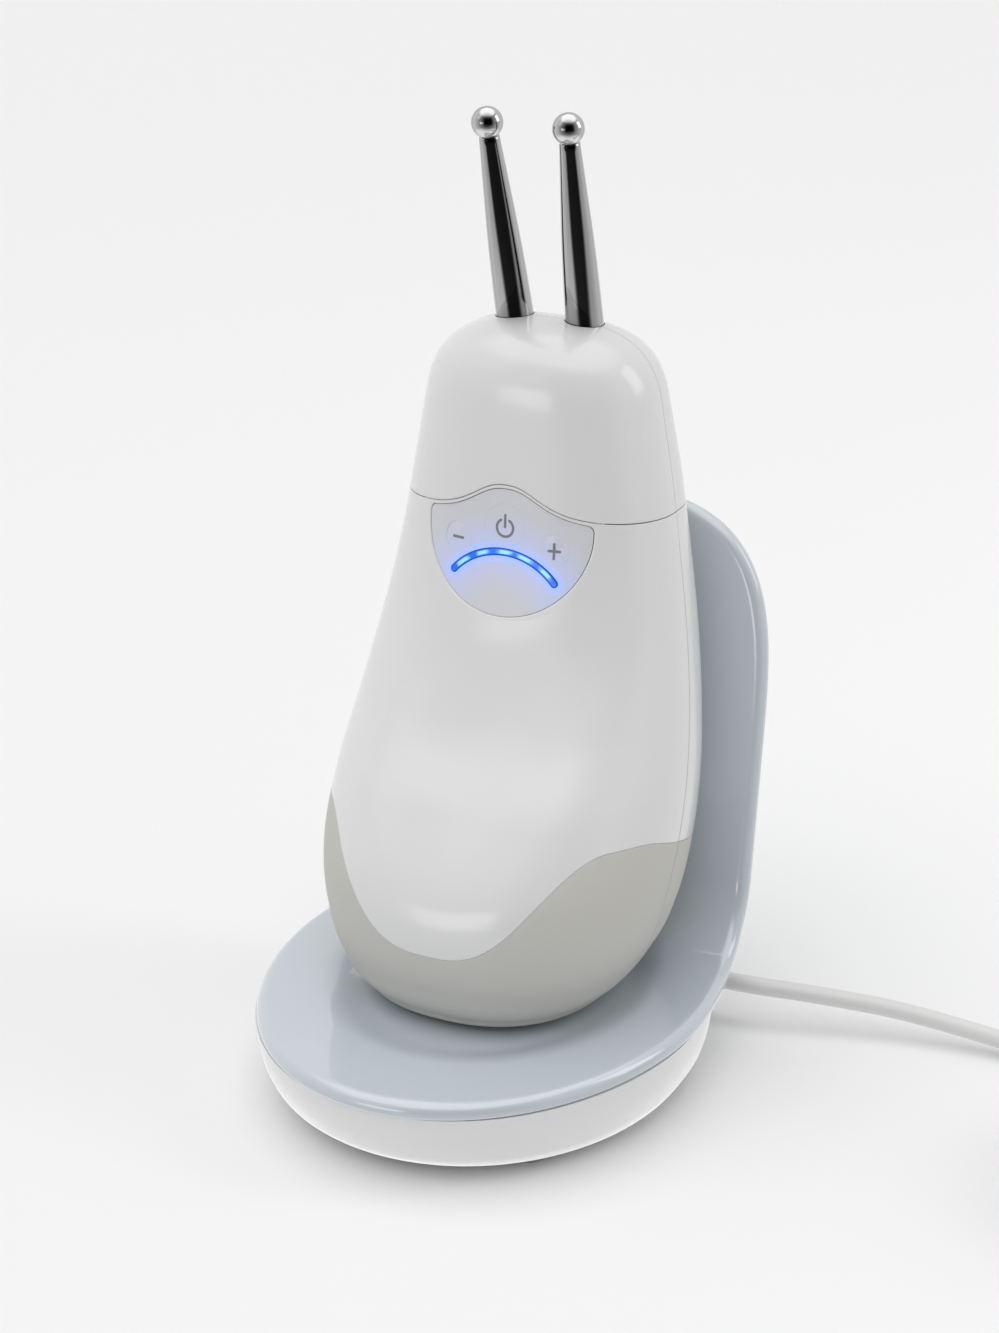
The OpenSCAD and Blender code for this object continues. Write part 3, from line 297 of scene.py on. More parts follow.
def round_edges(piece, edge, over=50):
    """Round the edges that turn by more than an angle in degrees."""
    modify(piece, "BEVEL", width=edge * MM, segments=2, limit_method="ANGLE", angle_limit=math.radians(over),
           use_clamp_overlap=True)


def smooth(piece, degrees=40):
    """Shade smooth, except over edges that turn by more than an angle in degrees."""
    pick(piece)
    bpy.ops.object.shade_smooth_by_angle(angle=math.radians(degrees))


def carve(piece, *cutters, operation="DIFFERENCE"):
    """Cut closed cutters out of a closed piece, or add them, and remove them."""
    for cutter in cutters:
        modify(piece, "BOOLEAN", operation=operation, solver="EXACT", object=cutter)
        bpy.data.objects.remove(cutter)
    return piece


def lathe(name, profile, place=Matrix.Identity(4), sides=64):
    """A closed turned piece: a profile of radius and height in millimetres, spun about Z and placed."""
    profile = np.array(profile, float)
    turn = np.linspace(0, 2 * math.pi, sides + 1)
    radius, height = profile[:, :1], profile[:, 1:]
    piece = closed_grid(name, stack(radius * np.cos(turn), radius * np.sin(turn), height))
    piece.data.transform(Matrix.Scale(MM, 4) @ place @ Matrix.Scale(1 / MM, 4))
    return piece


def upright(x, y, z):
    """Place a turned piece with its axis up, in millimetres."""
    return Matrix.Translation((x, y, z))


def along_x(x, y, z):
    """Place a turned piece with its axis along X, in millimetres."""
    return Matrix.Translation((x, y, z)) @ Matrix.Rotation(math.radians(90), 4, "Y")


def rounded_profile(points, radius=0.4, steps=4):
    """A turned profile with its inner corners rounded."""
    out = [points[0]]
    for before, at, after in zip(points, points[1:], points[2:]):
        a, b, c = (np.array(p, float) for p in (before, at, after))
        reach = [max(float(np.linalg.norm(p - b)), 1e-9) for p in (a, c)]
        r = min(radius, reach[0] * 0.45, reach[1] * 0.45)
        start, end = b + (a - b) / reach[0] * r, b + (c - b) / reach[1] * r
        for u in np.linspace(0, 1, steps + 1):
            out.append(tuple((1 - u) ** 2 * start + 2 * u * (1 - u) * b + u * u * end))
    out.append(points[-1])
    return out


def prism(name, outline, low, high):
    """A closed upright prism over an outline, in millimetres."""
    closed = np.vstack([outline, outline[:1]])
    middle = outline.mean(0)
    rows = []
    for level, size in ((low, 0.0), (low, 1.0), (high, 1.0), (high, 0.0)):
        plan = middle + (closed - middle) * size
        rows.append(stack(plan[:, 0], plan[:, 1], float(level)))
    return closed_grid(name, rows)


def circle(x, y, radius, sides=64):
    """Outline of a circle."""
    turn = np.linspace(0, 2 * math.pi, sides, endpoint=False)
    return stack(x + radius * np.cos(turn), y + radius * np.sin(turn))


def rounded_box(x0, y0, x1, y1, radius, steps=8):
    """Outline of a rectangle with rounded corners."""
    turn = np.linspace(0, math.pi / 2, steps + 1)
    out = []
    for cx, cy, start in ((x1 - radius, y1 - radius, 0), (x0 + radius, y1 - radius, 90),
                          (x0 + radius, y0 + radius, 180), (x1 - radius, y0 + radius, 270)):
        corner = turn + math.radians(start)
        out += [(cx + radius * math.cos(t), cy + radius * math.sin(t)) for t in corner]
    return np.array(out)


def dress(piece, body, slot, *nodes, over=40, look=None):
    """Finish a piece: its shading, its material, what it rides on and the CAD nodes that it stands for."""
    smooth(piece, over)
    piece.data.materials.clear()
    piece.data.materials.append(finish(look or slot))
    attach(piece, body)
    if nodes:
        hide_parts(*nodes)
    return piece


# ---- form of the handset --------------------------------------------------------------------

# Stations from the foot to where the crown starts: height, half width, front, seam, back
FORM_SIZE = (67, 64, 125)
FORM = (
    (0, 14, -16, 0, 8.5),
    (0.8, 19.5, -21.5, 0, 13),
    (3.5, 24.4, -26, 0, 19.5),
    (9.5, 29, -28.9, 0.2, 24.6),
    (17.5, 31.9, -29.7, 1.4, 27),
    (27.5, 33.4, -28.9, 4.2, 28.6),
    (39.5, 33.5, -22.5, 8.6, 30.3),
    (53.5, 32, -11, 13.3, 32),
    (67.5, 29.8, -2.4, 16.6, 33.4),
    (81.5, 27.2, 1.4, 18.7, 34.3),
    (95.5, 24.8, 2.6, 19.8, 33.8),
    (107.5, 22.6, 3.3, 20, 32.2),
)
FRONT_POWER = 2.3
BACK_POWER = 3
CROWN_POWER = 3
PART_SPREAD = 8.2
PANEL_TOP_GAP = 0.8
PANEL_CORNER = 1.4
# The thumb dish: half width, middle height and half height
DISH_X, DISH_Z, DISH_REACH = 22, 45, 29
# The grip's edge: its height in front, beside the dish, the half width where it has risen, and its fall
GRIP_LOW, GRIP_HIGH, GRIP_RISE_X, GRIP_FALL = 16.8, 36, 28, 11


def curve(t, y, v):
    """Smooth curve through the stations (t, y), read at v."""
    step = np.diff(t)
    secant = np.diff(y) / step
    inner = (secant[:-1] * step[1:] + secant[1:] * step[:-1]) / (step[:-1] + step[1:])
    slope = np.concatenate([secant[:1], inner, secant[-1:]])
    i = np.clip(np.searchsorted(t, v, side="right") - 1, 0, len(t) - 2)
    u = (v - t[i]) / step[i]
    return (y[i] * (1 + 2 * u) * (1 - u) ** 2 + slope[i] * step[i] * u * (1 - u) ** 2
            + y[i + 1] * u * u * (3 - 2 * u) - slope[i + 1] * step[i] * u * u * (1 - u))


def bump(u):
    """A soft hill of height 1 over -1 to 1."""
    return np.where(np.abs(u) < 1, (1 - np.minimum(u * u, 1)) ** 2, 0)


def ease(u):
    """A soft step from 0 to 1."""
    v = np.clip(u, 0, 1)
    return v * v * (3 - 2 * v)


def spow(v, power):
    """A power that keeps the sign, for superelliptic sections."""
    return np.sign(v) * np.abs(v) ** power


class HandsetForm:
    """The closed form from which the shells, grips and panel are cut, in its own millimetres."""

    def __init__(self, device):
        size = in_mm(device.handset)
        panel = in_mm(device.panel)
        self.size, self.panel = size, panel
        stations = np.array(FORM, float)
        self.kx = size.width / FORM_SIZE[0]
        self.ky = size.depth / FORM_SIZE[1]
        self.kz = size.height / FORM_SIZE[2]
        self.z = stations[:, 0] * self.kz
        self.columns = {"half": stations[:, 1] * self.kx, "front": stations[:, 2] * self.ky,
                        "seam": stations[:, 3] * self.ky, "back": stations[:, 4] * self.ky}
        self.crown_z = self.z[-1]
        self.top_z = size.height - size.crown_drop
        # The parting line, and below it the panel, the caps and the light arc
        self.part_z = 88.9 * self.kz
        self.part_rise = 6.5 * self.kz
        self.panel_z = self.part_z - 1.8
        self.power_z = self.part_z - 0.9
        self.level_z = self.part_z - 4.3
        self.level_x = 9.5
        self.arc_z = self.part_z - 19

    def crown_part(self, z):
        """How much of a section is left at height z of the crown, from 1 to 0."""
        return np.maximum(0, 1 - np.clip((z - self.crown_z) / (self.top_z - self.crown_z), 0, 1)
                          ** CROWN_POWER) ** (1 / CROWN_POWER)

    def read(self, column, z):
        """A column of the stations at height z, closed in over the crown."""
        z = np.asarray(z, float)
        y = self.columns[column]
        middle = 0 if column == "half" else self.columns["seam"][-1]
        slope = (y[-1] - y[-2]) / (self.z[-1] - self.z[-2])
        crown = middle + (y[-1] + slope * (z - self.crown_z) - middle) * self.crown_part(z)
        return np.where(z <= self.crown_z, curve(self.z, y, np.minimum(z, self.crown_z)), crown)

    def dish(self, x, z):
        """Depth of the thumb dish at x and z."""
        return (self.size.dish_depth * bump(x / (DISH_X * self.kx))
                * bump((z - DISH_Z * self.kz) / (DISH_REACH * self.kz)))

    def surface_y(self, x, z):
        """Depth of the front surface at x and z."""
        u = np.minimum(1, np.abs(x) / self.read("half", z))
        seam, front = self.read("seam", z), self.read("front", z)
        return seam - (seam - front) * (1 - u ** FRONT_POWER) ** (1 / FRONT_POWER) + self.dish(x, z)

    def part_line(self, x):
        """Height of the parting line between the head and the body."""
        return self.part_z + self.part_rise / (1 + (np.abs(x) / PART_SPREAD) ** 2.5)

    def grip_line(self, x, y, back=False):
        """Height of the grip's upper edge: low at the front, high beside the dish, falling to the back."""
        rise = 1
        if not back:
            rise = (1 - np.cos(math.pi * np.minimum(np.abs(x) / self.kx / GRIP_RISE_X, 1) ** 1.5)) / 2
        past = y / self.ky + 5.5
        fall = GRIP_FALL * np.tanh(0.215 * (past + np.sqrt(past * past + 16)) / GRIP_FALL)
        return (GRIP_LOW + (GRIP_HIGH - GRIP_LOW) * rise - fall * rise) * self.kz

    def point(self, t, z, back, inset, gap):
        """Point of a half section at parameter t, from the right seam to the left one."""
        power = BACK_POWER if back else FRONT_POWER
        x = (self.read("half", z) - inset * (z < self.top_z)) * spow(np.cos(t), 2 / power)
        y = spow(np.sin(t), 2 / power)
        seam = self.read("seam", z)
        if back:
            y = seam + gap / 2 + np.maximum(self.read("back", z) - inset - seam - gap / 2, 0) * y
        else:
            room = np.maximum(seam - self.read("front", z) - inset - gap / 2, 0)
            y = seam - gap / 2 - room * y + self.dish(x, z)
        return x, y

    def shares(self, columns, back, inset, gap):
        """Heights, and for each the parameters that part its half section into equal lengths."""
        turn = np.linspace(0, math.pi / 2, 61)[1:]
        top = self.top_z - self.crown_z
        crown = self.crown_z + top * (1 - np.cos(turn[:-1]) ** CROWN_POWER) ** (1 / CROWN_POWER)
        heights = np.concatenate([np.arange(0, self.crown_z, 0.5), crown])
        t = np.linspace(0, math.pi, 721)
        table = []
        for z in heights:
            x, y = self.point(t, z, back, inset, gap)
            run = np.concatenate([[0], np.cumsum(np.hypot(np.diff(x), np.diff(y)))])
            table.append(np.interp(np.linspace(0, run[-1], columns), run, t))
        return heights, np.array(table)

    def patch(self, low, high, rows, columns, back=False, inset=0.0, crown_rows=0, crowd=1.0):
        """Rows and columns of points over a half of the form, between two heights or lines over x and y."""
        gap = self.size.seam_gap
        heights, table = self.shares(columns, back, inset, gap)

        def parameter(z):
            return np.array([np.interp(zz, heights, table[:, j]) for j, zz in enumerate(z)])

        def settle(line):
            below, above = np.zeros(columns), np.full(columns, self.top_z * 0.95)
            for _ in range(40):
                z = (below + above) / 2
                x, y = self.point(parameter(z), z, back, inset, gap)
                over = z > line(x, y)
                above, below = np.where(over, z, above), np.where(over, below, z)
            return (below + above) / 2

        start = settle(low) if callable(low) else np.full(columns, float(low))
        end = settle(high) if callable(high) else np.full(columns, float(high))
        levels = [start + (end - start) * u ** crowd for u in np.linspace(0, 1, rows)]
        turn = np.linspace(0, math.pi / 2, crown_rows + 1)[1:] if crown_rows else []
        levels += [np.full(columns, self.crown_z + (self.top_z - self.crown_z)
                           * (1 - math.cos(t) ** CROWN_POWER) ** (1 / CROWN_POWER)) for t in turn]
        squeeze = (self.top_z - 2 * inset) / self.top_z
        out = []
        for z in levels:
            x, y = self.point(parameter(z), z, back, inset, gap)
            out.append(stack(x, y, inset + z * squeeze))
        return np.array(out)

    def shield(self, count=720):
        """Panel outline as a radius over the angle about a point inside it."""
        half = self.panel.width / 2
        corner = half - PANEL_CORNER

        def top(x):
            return self.part_line(x) - PANEL_TOP_GAP

        slope = (top(corner + 0.01) - top(corner - 0.01)) / 0.02
        corner_z = top(corner) - PANEL_CORNER * math.hypot(1, slope)
        end = math.atan2(1, -slope)
        arc = np.linspace(0, end, 24)
        right = stack(corner + PANEL_CORNER * np.cos(arc), corner_z + PANEL_CORNER * np.sin(arc))
        run = np.linspace(right[-1, 0], 0, 120)[1:]
        right = np.vstack([right, stack(run, top(run))])
        turn = np.linspace(-math.pi / 2, 0, 160)[:-1]
        low = stack(half * np.cos(turn), self.panel_z + self.panel.drop * np.sin(turn))
        side = np.vstack([low, right])
        outline = np.vstack([side, (side * [-1, 1])[-2:0:-1]])
        middle = np.array([0, self.panel_z - 5.5])
        out = outline - middle
        bearing = np.unwrap(np.arctan2(out[:, 1], out[:, 0]))
        radius = np.hypot(out[:, 0], out[:, 1])
        bearing = np.concatenate([bearing, bearing[:1] + 2 * math.pi])
        radius = np.concatenate([radius, radius[:1]])
        start = bearing[0]
        return middle, lambda at: np.interp(start + np.mod(at - start, 2 * math.pi), bearing, radius)


BACK_TOUCH_Z = 81.5
BASE_BACK_GAP = 2.4
# The strain relief's root: across, behind the base and above the floor
RELIEF_X, RELIEF_BACK, RELIEF_Z = 13, 4.1, 8
# The charge pins: across from the middle and behind the seat's middle
PIN_X, PIN_Y = 6, 3.4


class CradlePlaces:
    """Where the bent sheet, the seat and the cord boss lie, in millimetres."""

    def __init__(self, device):
        size = in_mm(device.cradle)
        self.size = size
        lean = math.radians(size.plate_lean)
        self.lean = lean
        self.rise = math.pi / 2 - lean
        plate_rise = size.plate_top - size.tray_top - size.bend_r * (1 - math.cos(self.rise))
        self.plate_len = plate_rise / math.cos(lean)
        self.bend_y = (size.depth / 2 - size.sheet_t * math.cos(lean) - self.plate_len * math.sin(lean)
                       - size.bend_r * math.sin(self.rise))
        self.tray_len = self.bend_y + size.depth / 2
        self.bend_len = size.bend_r * self.rise
        self.sheet_len = self.tray_len + self.bend_len + self.plate_len
        self.foot_y = self.bend_y + size.bend_r * math.sin(self.rise)
        self.foot_z = size.tray_top + size.bend_r * (1 - math.cos(self.rise))
        self.seat_z = size.tray_top - size.seat_depth + size.seat_gap
        form = HandsetForm(device)
        back_z = BACK_TOUCH_Z * form.kz + self.seat_z
        self.seat_y = (self.foot_y + (back_z - self.foot_z) * math.tan(lean) - max(form.columns["back"])
                       - size.lean_gap)
        self.base_back = self.foot_y - BASE_BACK_GAP
        self.relief = (RELIEF_X, self.base_back + RELIEF_BACK, RELIEF_Z)

    def bent(self, x, s, h):
        """Point of the bent sheet: x across, s along, h above its upper surface."""
        size = self.size
        turn = np.clip((s - self.tray_len) / self.bend_len, 0, 1) * self.rise
        flat = np.minimum(s, self.tray_len) - size.depth / 2
        past = np.maximum(s - self.tray_len - self.bend_len, 0)
        radius = size.bend_r - h
        y = flat + radius * np.sin(turn) + past * math.sin(self.lean)
        z = size.tray_top + size.bend_r - radius * np.cos(turn) + past * math.cos(self.lean)
        return stack(x, y, z)

    def seated(self, points):
        """Points of the handset's own frame, stood in the seat."""
        return np.asarray(points, float) + np.array([0, self.seat_y, self.seat_z])


def work(context):
    """The settings, the handset form and the cradle places."""
    device = context.scene.toning_device
    return device, HandsetForm(device), CradlePlaces(device)


# ---- materials ------------------------------------------------------------------------------

def new_group(name, inputs, outputs):
    """A shader node group with named sockets, its nodes and its two ends."""
    group = bpy.data.node_groups.new(name, "ShaderNodeTree")
    for label, kind, value in inputs:
        socket = group.interface.new_socket(label, in_out="INPUT", socket_type=kind)
        if value is not None:
            socket.default_value = value
    for label, kind in outputs:
        group.interface.new_socket(label, in_out="OUTPUT", socket_type=kind)
    return group, group.nodes.new("NodeGroupInput"), group.nodes.new("NodeGroupOutput")


def wire(tree, source, target):
    """Link an output to an input."""
    tree.links.new(source, target)


def node(tree, kind, **values):
    """A shader node, with its properties set."""
    made = tree.nodes.new("ShaderNode" + kind)
    for name, value in values.items():
        setattr(made, name, value)
    return made


def maths(tree, operation, *operands, clamp=False):
    """A Math node fed by sockets or numbers, and its output."""
    made = node(tree, "Math", operation=operation, use_clamp=clamp)
    for socket, operand in zip(made.inputs, operands):
        if isinstance(operand, (int, float)):
            socket.default_value = operand
        else:
            wire(tree, operand, socket)
    return made.outputs[0]


def remap(tree, value, low, high, start=0.0, end=1.0):
    """A smooth ramp of a value from one range to another."""
    made = node(tree, "MapRange", interpolation_type="SMOOTHSTEP")
    wire(tree, value, made.inputs["Value"])
    for label, number in (("From Min", low), ("From Max", high), ("To Min", start), ("To Max", end)):
        made.inputs[label].default_value = number
    return made.outputs["Result"]


def blend(tree, factor, first, second):
    """A colour mix, and its output."""
    made = node(tree, "Mix", data_type="RGBA")
    wire(tree, factor, made.inputs["Factor"])
    for label, value in (("A", first), ("B", second)):
        socket = next(s for s in made.inputs if s.name == label and s.type == "RGBA")
        if isinstance(value, bpy.types.NodeSocket):
            wire(tree, value, socket)
        else:
            socket.default_value = (*value, 1)
    return next(s for s in made.outputs if s.type == "RGBA")


def end_group(group, start, end, centred, shade, spread, strength, height, distance):
    """Shade a group's colour and roughness by an unevenness, and give it a fine relief."""
    lit = node(group, "VectorMath", operation="SCALE")
    wire(group, start.outputs["Color"], lit.inputs[0])
    wire(group, maths(group, "ADD", maths(group, "MULTIPLY", centred, shade), 1.0), lit.inputs["Scale"])
    wire(group, lit.outputs[0], end.inputs["Color"])
    uneven = maths(group, "MULTIPLY", centred, spread)
    wire(group, maths(group, "ADD", uneven, start.outputs["Roughness"], clamp=True), end.inputs["Roughness"])
    relief = node(group, "Bump")
    relief.inputs["Distance"].default_value = distance
    wire(group, strength, relief.inputs["Strength"])
    wire(group, height, relief.inputs["Height"])
    wire(group, relief.outputs["Normal"], end.inputs["Normal"])
    return group


SURFACE_ENDS = (("Color", "NodeSocketColor"), ("Roughness", "NodeSocketFloat"),
                ("Normal", "NodeSocketVector"))


def moulding_group():
    """Fine unevenness of a moulded surface: colour, roughness and a faint waviness and grain."""
    name = "moulded_surface"
    if name in bpy.data.node_groups:
        return bpy.data.node_groups[name]
    group, start, end = new_group(
        name,
        (("Color", "NodeSocketColor", (0.8, 0.8, 0.8, 1)), ("Shade", "NodeSocketFloat", 0.03),
         ("Roughness", "NodeSocketFloat", 0.3), ("Spread", "NodeSocketFloat", 0.04),
         ("Grain Scale", "NodeSocketFloat", 900.0), ("Grain", "NodeSocketFloat", 0.02)),
        SURFACE_ENDS)
    place = node(group, "TexCoord")
    cloud = node(group, "TexNoise")
    cloud.inputs["Scale"].default_value = 38.0
    cloud.inputs["Detail"].default_value = 3.0
    grain = node(group, "TexNoise")
    grain.inputs["Detail"].default_value = 2.0
    wire(group, place.outputs["Object"], cloud.inputs["Vector"])
    wire(group, place.outputs["Object"], grain.inputs["Vector"])
    wire(group, start.outputs["Grain Scale"], grain.inputs["Scale"])
    centred = maths(group, "SUBTRACT", cloud.outputs["Fac"], 0.5)
    return end_group(group, start, end, centred, start.outputs["Shade"], start.outputs["Spread"],
                     start.outputs["Grain"], grain.outputs["Fac"], 0.0001)


def polish_group():
    """Fine drawn lines and faint clouding of polished or plated metal."""
    name = "drawn_metal"
    if name in bpy.data.node_groups:
        return bpy.data.node_groups[name]
    group, start, end = new_group(
        name,
        (("Color", "NodeSocketColor", (0.6, 0.6, 0.6, 1)), ("Roughness", "NodeSocketFloat", 0.12),
         ("Lines", "NodeSocketFloat", 0.05), ("Stretch", "NodeSocketVector", (1.0, 1.0, 0.04))),
        SURFACE_ENDS)
    place = node(group, "TexCoord")
    drawn = node(group, "VectorMath", operation="MULTIPLY")
    wire(group, place.outputs["Object"], drawn.inputs[0])
    wire(group, start.outputs["Stretch"], drawn.inputs[1])
    lines = node(group, "TexNoise")
    lines.inputs["Scale"].default_value = 2600.0
    lines.inputs["Detail"].default_value = 2.0
    wire(group, drawn.outputs[0], lines.inputs["Vector"])
    centred = maths(group, "SUBTRACT", lines.outputs["Fac"], 0.5)
    return end_group(group, start, end, centred, 0.06, start.outputs["Lines"], start.outputs["Lines"],
                     lines.outputs["Fac"], 0.00002)


def surface(name, group, colour_value=None, **values):
    """A material whose Principled shader reads a surface group. Constants go on the shader's own sockets."""
    made = bpy.data.materials.get(name)
    if made:
        return made
    made = bpy.data.materials.new(name)
    made.use_nodes = True
    tree = made.node_tree
    shader = tree.nodes["Principled BSDF"]
    inner = node(tree, "Group")
    inner.node_tree = group
    inner.name = "Surface"
    if colour_value is not None:
        inner.inputs["Color"].default_value = (*colour_value, 1)
    wire(tree, inner.outputs["Color"], shader.inputs["Base Color"])
    wire(tree, inner.outputs["Roughness"], shader.inputs["Roughness"])
    wire(tree, inner.outputs["Normal"], shader.inputs["Normal"])
    for label, value in values.items():
        label = label.replace("_", " ")
        target = inner if label in inner.inputs else shader
        target.inputs[label].default_value = value
    return made


def plastic(name, tone, **values):
    """A moulded plastic or rubber."""
    return surface(name, moulding_group(), tone, **values)


def metal(name, tone, **values):
    """A drawn or polished metal."""
    return surface(name, polish_group(), tone, **{"Metallic": 1.0, **values})


def finish(slot):
    """The material of one of the record's slots, made when it is first asked for."""
    tones = bpy.context.scene.toning_device.finish
    name = slot + "_finish"
    makers = {
        "shell_white": lambda: plastic(name, tones.shell_white, Roughness=0.2, Spread=0.03, Shade=0.012,
                                       Grain=0.006, Coat_Weight=0.35, Coat_Roughness=0.06),
        "grip_grey": lambda: plastic(name, tones.grip_grey, Roughness=0.58, Spread=0.05, Shade=0.02,
                                     Grain=0.16, Grain_Scale=2600.0, Specular_IOR_Level=0.38),
        "panel_film": lambda: panel_film(name),
        "button_film": lambda: finish("panel_film"),
        "light_guide": lambda: light_guide(name),
        # The rods and balls carry a painted reflection in their colour, dark where they face the eye
        "probe_steel": lambda: mirror(name, tones.steel, ROD_PAINTED_REFLECTION, Roughness=0.09, Lines=0.1),
        "ball_chrome": lambda: mirror(name, tones.chrome, BALL_PAINTED_REFLECTION, Roughness=0.07, Lines=0.02,
                                      Stretch=(1.0, 1.0, 1.0)),
        "cradle_blue": lambda: plastic(name, tones.cradle_blue, Roughness=0.21, Spread=0.03, Shade=0.02,
                                       Grain=0.008, Coat_Weight=1.0, Coat_Roughness=0.05, Coat_IOR=1.65),
        "foot_rubber": lambda: plastic(name, (0.3, 0.3, 0.31), Roughness=0.75, Shade=0.1, Grain=0.3),
        "inner_plastic": lambda: plastic(name, (0.62, 0.63, 0.64), Roughness=0.42, Grain=0.08),
        "buzzer_black": lambda: plastic(name, (0.02, 0.02, 0.022), Roughness=0.45, Shade=0.2, Grain=0.1),
        "board_green": lambda: circuit_board(name),
        "cell_wrap": lambda: plastic(name, (0.045, 0.16, 0.38), Roughness=0.34, Shade=0.12, Grain=0.05),
        "wire_copper": lambda: wound_copper(name),
        "contact_gold": lambda: metal(name, (0.72, 0.48, 0.18), Roughness=0.22, Lines=0.08),
        "screw_steel": lambda: metal(name, (0.5, 0.51, 0.52), Roughness=0.32, Lines=0.12,
                                     Stretch=(1.0, 1.0, 1.0)),
        "weight_iron": lambda: metal(name, (0.24, 0.24, 0.25), Roughness=0.5, Lines=0.3,
                                     Stretch=(0.2, 1.0, 1.0)),
        "cord_white": lambda: plastic(name, tones.cord_white, Roughness=0.4, Spread=0.06, Shade=0.03,
                                      Grain=0.05),
        "tie_black": lambda: plastic(name, (0.025, 0.026, 0.03), Roughness=0.6, Shade=0.3, Grain=0.4,
                                     Grain_Scale=3000.0),
        "led_body": lambda: plastic(name, (0.75, 0.82, 0.9), Roughness=0.25, Grain=0.02),
        "print_grey": lambda: plastic(name, tones.print_grey, Roughness=0.5, Shade=0.08, Grain=0.05),
    }
    return bpy.data.materials.get(name) or makers[slot]()


def arc_masks(tree):
    """Distance from the light arc's centre line, and angle along it, in metres and radians."""
    device, form, places = work(bpy.context)
    centre = places.seated([0, 0, form.arc_z]) * MM
    place = node(tree, "TexCoord")
    split = node(tree, "SeparateXYZ")
    wire(tree, place.outputs["Object"], split.inputs[0])
    up = maths(tree, "SUBTRACT", split.outputs["Z"], float(centre[2]))
    across = split.outputs["X"]
    turn = maths(tree, "ARCTAN2", across, up)
    radius = maths(tree, "SQRT", maths(tree, "ADD", maths(tree, "MULTIPLY", across, across),
                                       maths(tree, "MULTIPLY", up, up)))
    off_line = maths(tree, "SUBTRACT", radius, device.panel.arc_r)
    past_end = maths(tree, "SUBTRACT", maths(tree, "ABSOLUTE", turn), device.panel.arc_half)
    past_end = maths(tree, "MAXIMUM", past_end, 0.0)
    along = maths(tree, "MULTIPLY", past_end, device.panel.arc_r)
    away = maths(tree, "SQRT", maths(tree, "ADD", maths(tree, "MULTIPLY", off_line, off_line),
                                     maths(tree, "MULTIPLY", along, along)))
    return away, turn


def panel_film(name):
    """Pale film with the arc's light painted on it: a painted blue glow in its colour and emission next to
    the arc.
    """
    tones = bpy.context.scene.toning_device.finish
    made = plastic(name, tones.film, Roughness=0.34, Spread=0.04, Shade=0.02, Grain=0.03, Grain_Scale=1800.0)
    tree = made.node_tree
    away, _turn = arc_masks(tree)
    # Painted glow: near the arc the film's colour is blended towards blue and given a blue emission, though
    # the film is no lamp
    near = remap(tree, away, 0.0006, 0.0028, 1.0, 0.0)
    wide = remap(tree, away, 0.001, 0.0085, 0.3, 0.0)
    glow = maths(tree, "MAXIMUM", near, wide)
    painted_glow_colour = blend(tree, glow, tones.film, tones.film_painted_glow)
    wire(tree, painted_glow_colour, tree.nodes["Surface"].inputs["Color"])
    light = blend(tree, glow, (0.0, 0.0, 0.0), (0.04, 0.1, 0.4))
    shader = tree.nodes["Principled BSDF"]
    wire(tree, light, shader.inputs["Emission Color"])
    shader.inputs["Emission Strength"].default_value = 1.0
    return made


# Angle between the light arc's lamps
LAMP_PITCH = math.radians(19)


def light_guide(name):
    """Blue light guide, brighter over each of its five lamps and darker along its rim."""
    tones = bpy.context.scene.toning_device.finish
    made = plastic(name, tones.arc_deep, Roughness=0.2, Spread=0.02, Shade=0.02, Grain=0.01)
    tree = made.node_tree
    away, turn = arc_masks(tree)
    wave = maths(tree, "PINGPONG", maths(tree, "ADD", turn, LAMP_PITCH * 10), LAMP_PITCH / 2)
    flicker = node(tree, "TexNoise")
    flicker.inputs["Scale"].default_value = 420.0
    place = node(tree, "TexCoord")
    wire(tree, place.outputs["Object"], flicker.inputs["Vector"])
    uneven = maths(tree, "MULTIPLY", maths(tree, "SUBTRACT", flicker.outputs["Fac"], 0.5), 0.16)
    spot = remap(tree, maths(tree, "ADD", wave, uneven), math.radians(3.0), math.radians(8.2), 1.0, 0.0)
    middle = remap(tree, away, 0.00016, 0.00052, 1.0, 0.0)
    lit = blend(tree, maths(tree, "MULTIPLY", spot, middle), (0.0, 0.13, 0.56), tones.arc_spot)
    rim = remap(tree, away, 0.00038, 0.00054)
    shown = blend(tree, rim, lit, (0.0, 0.012, 0.09))
    shader = tree.nodes["Principled BSDF"]
    wire(tree, shown, shader.inputs["Emission Color"])
    shader.inputs["Emission Strength"].default_value = 0.95
    return made


def circuit_board(name):
    """Green board with faint tracks."""
    made = plastic(name, (0.02, 0.14, 0.06), Roughness=0.35, Shade=0.2, Grain=0.05)
    tree = made.node_tree
    place = node(tree, "TexCoord")
    tracks = node(tree, "TexBrick")
    tracks.inputs["Scale"].default_value = 260.0
    tracks.inputs["Mortar Size"].default_value = 0.03
    tracks.inputs["Color1"].default_value = (0.02, 0.14, 0.06, 1)
    tracks.inputs["Color2"].default_value = (0.024, 0.16, 0.07, 1)
    tracks.inputs["Mortar"].default_value = (0.05, 0.26, 0.11, 1)
    wire(tree, place.outputs["Object"], tracks.inputs["Vector"])
    wire(tree, tracks.outputs["Color"], tree.nodes["Surface"].inputs["Color"])
    return made


# Painted reflection: grey painted into polished metal's colour over how far it turns away from the eye, dark
# where it faces the eye
ROD_PAINTED_REFLECTION = ((0.0, 0.012), (0.124, 0.012), (0.14, 0.07), (0.165, 0.3), (0.19, 0.44), (0.3, 0.5), (0.45, 0.52),
             (0.62, 0.42), (0.8, 0.54), (0.95, 0.25))
BALL_PAINTED_REFLECTION = ((0.0, 0.04), (0.03, 0.07), (0.1, 0.26), (0.2, 0.5), (0.42, 0.56), (0.65, 0.42), (0.88, 0.32),
              (1.0, 0.26))


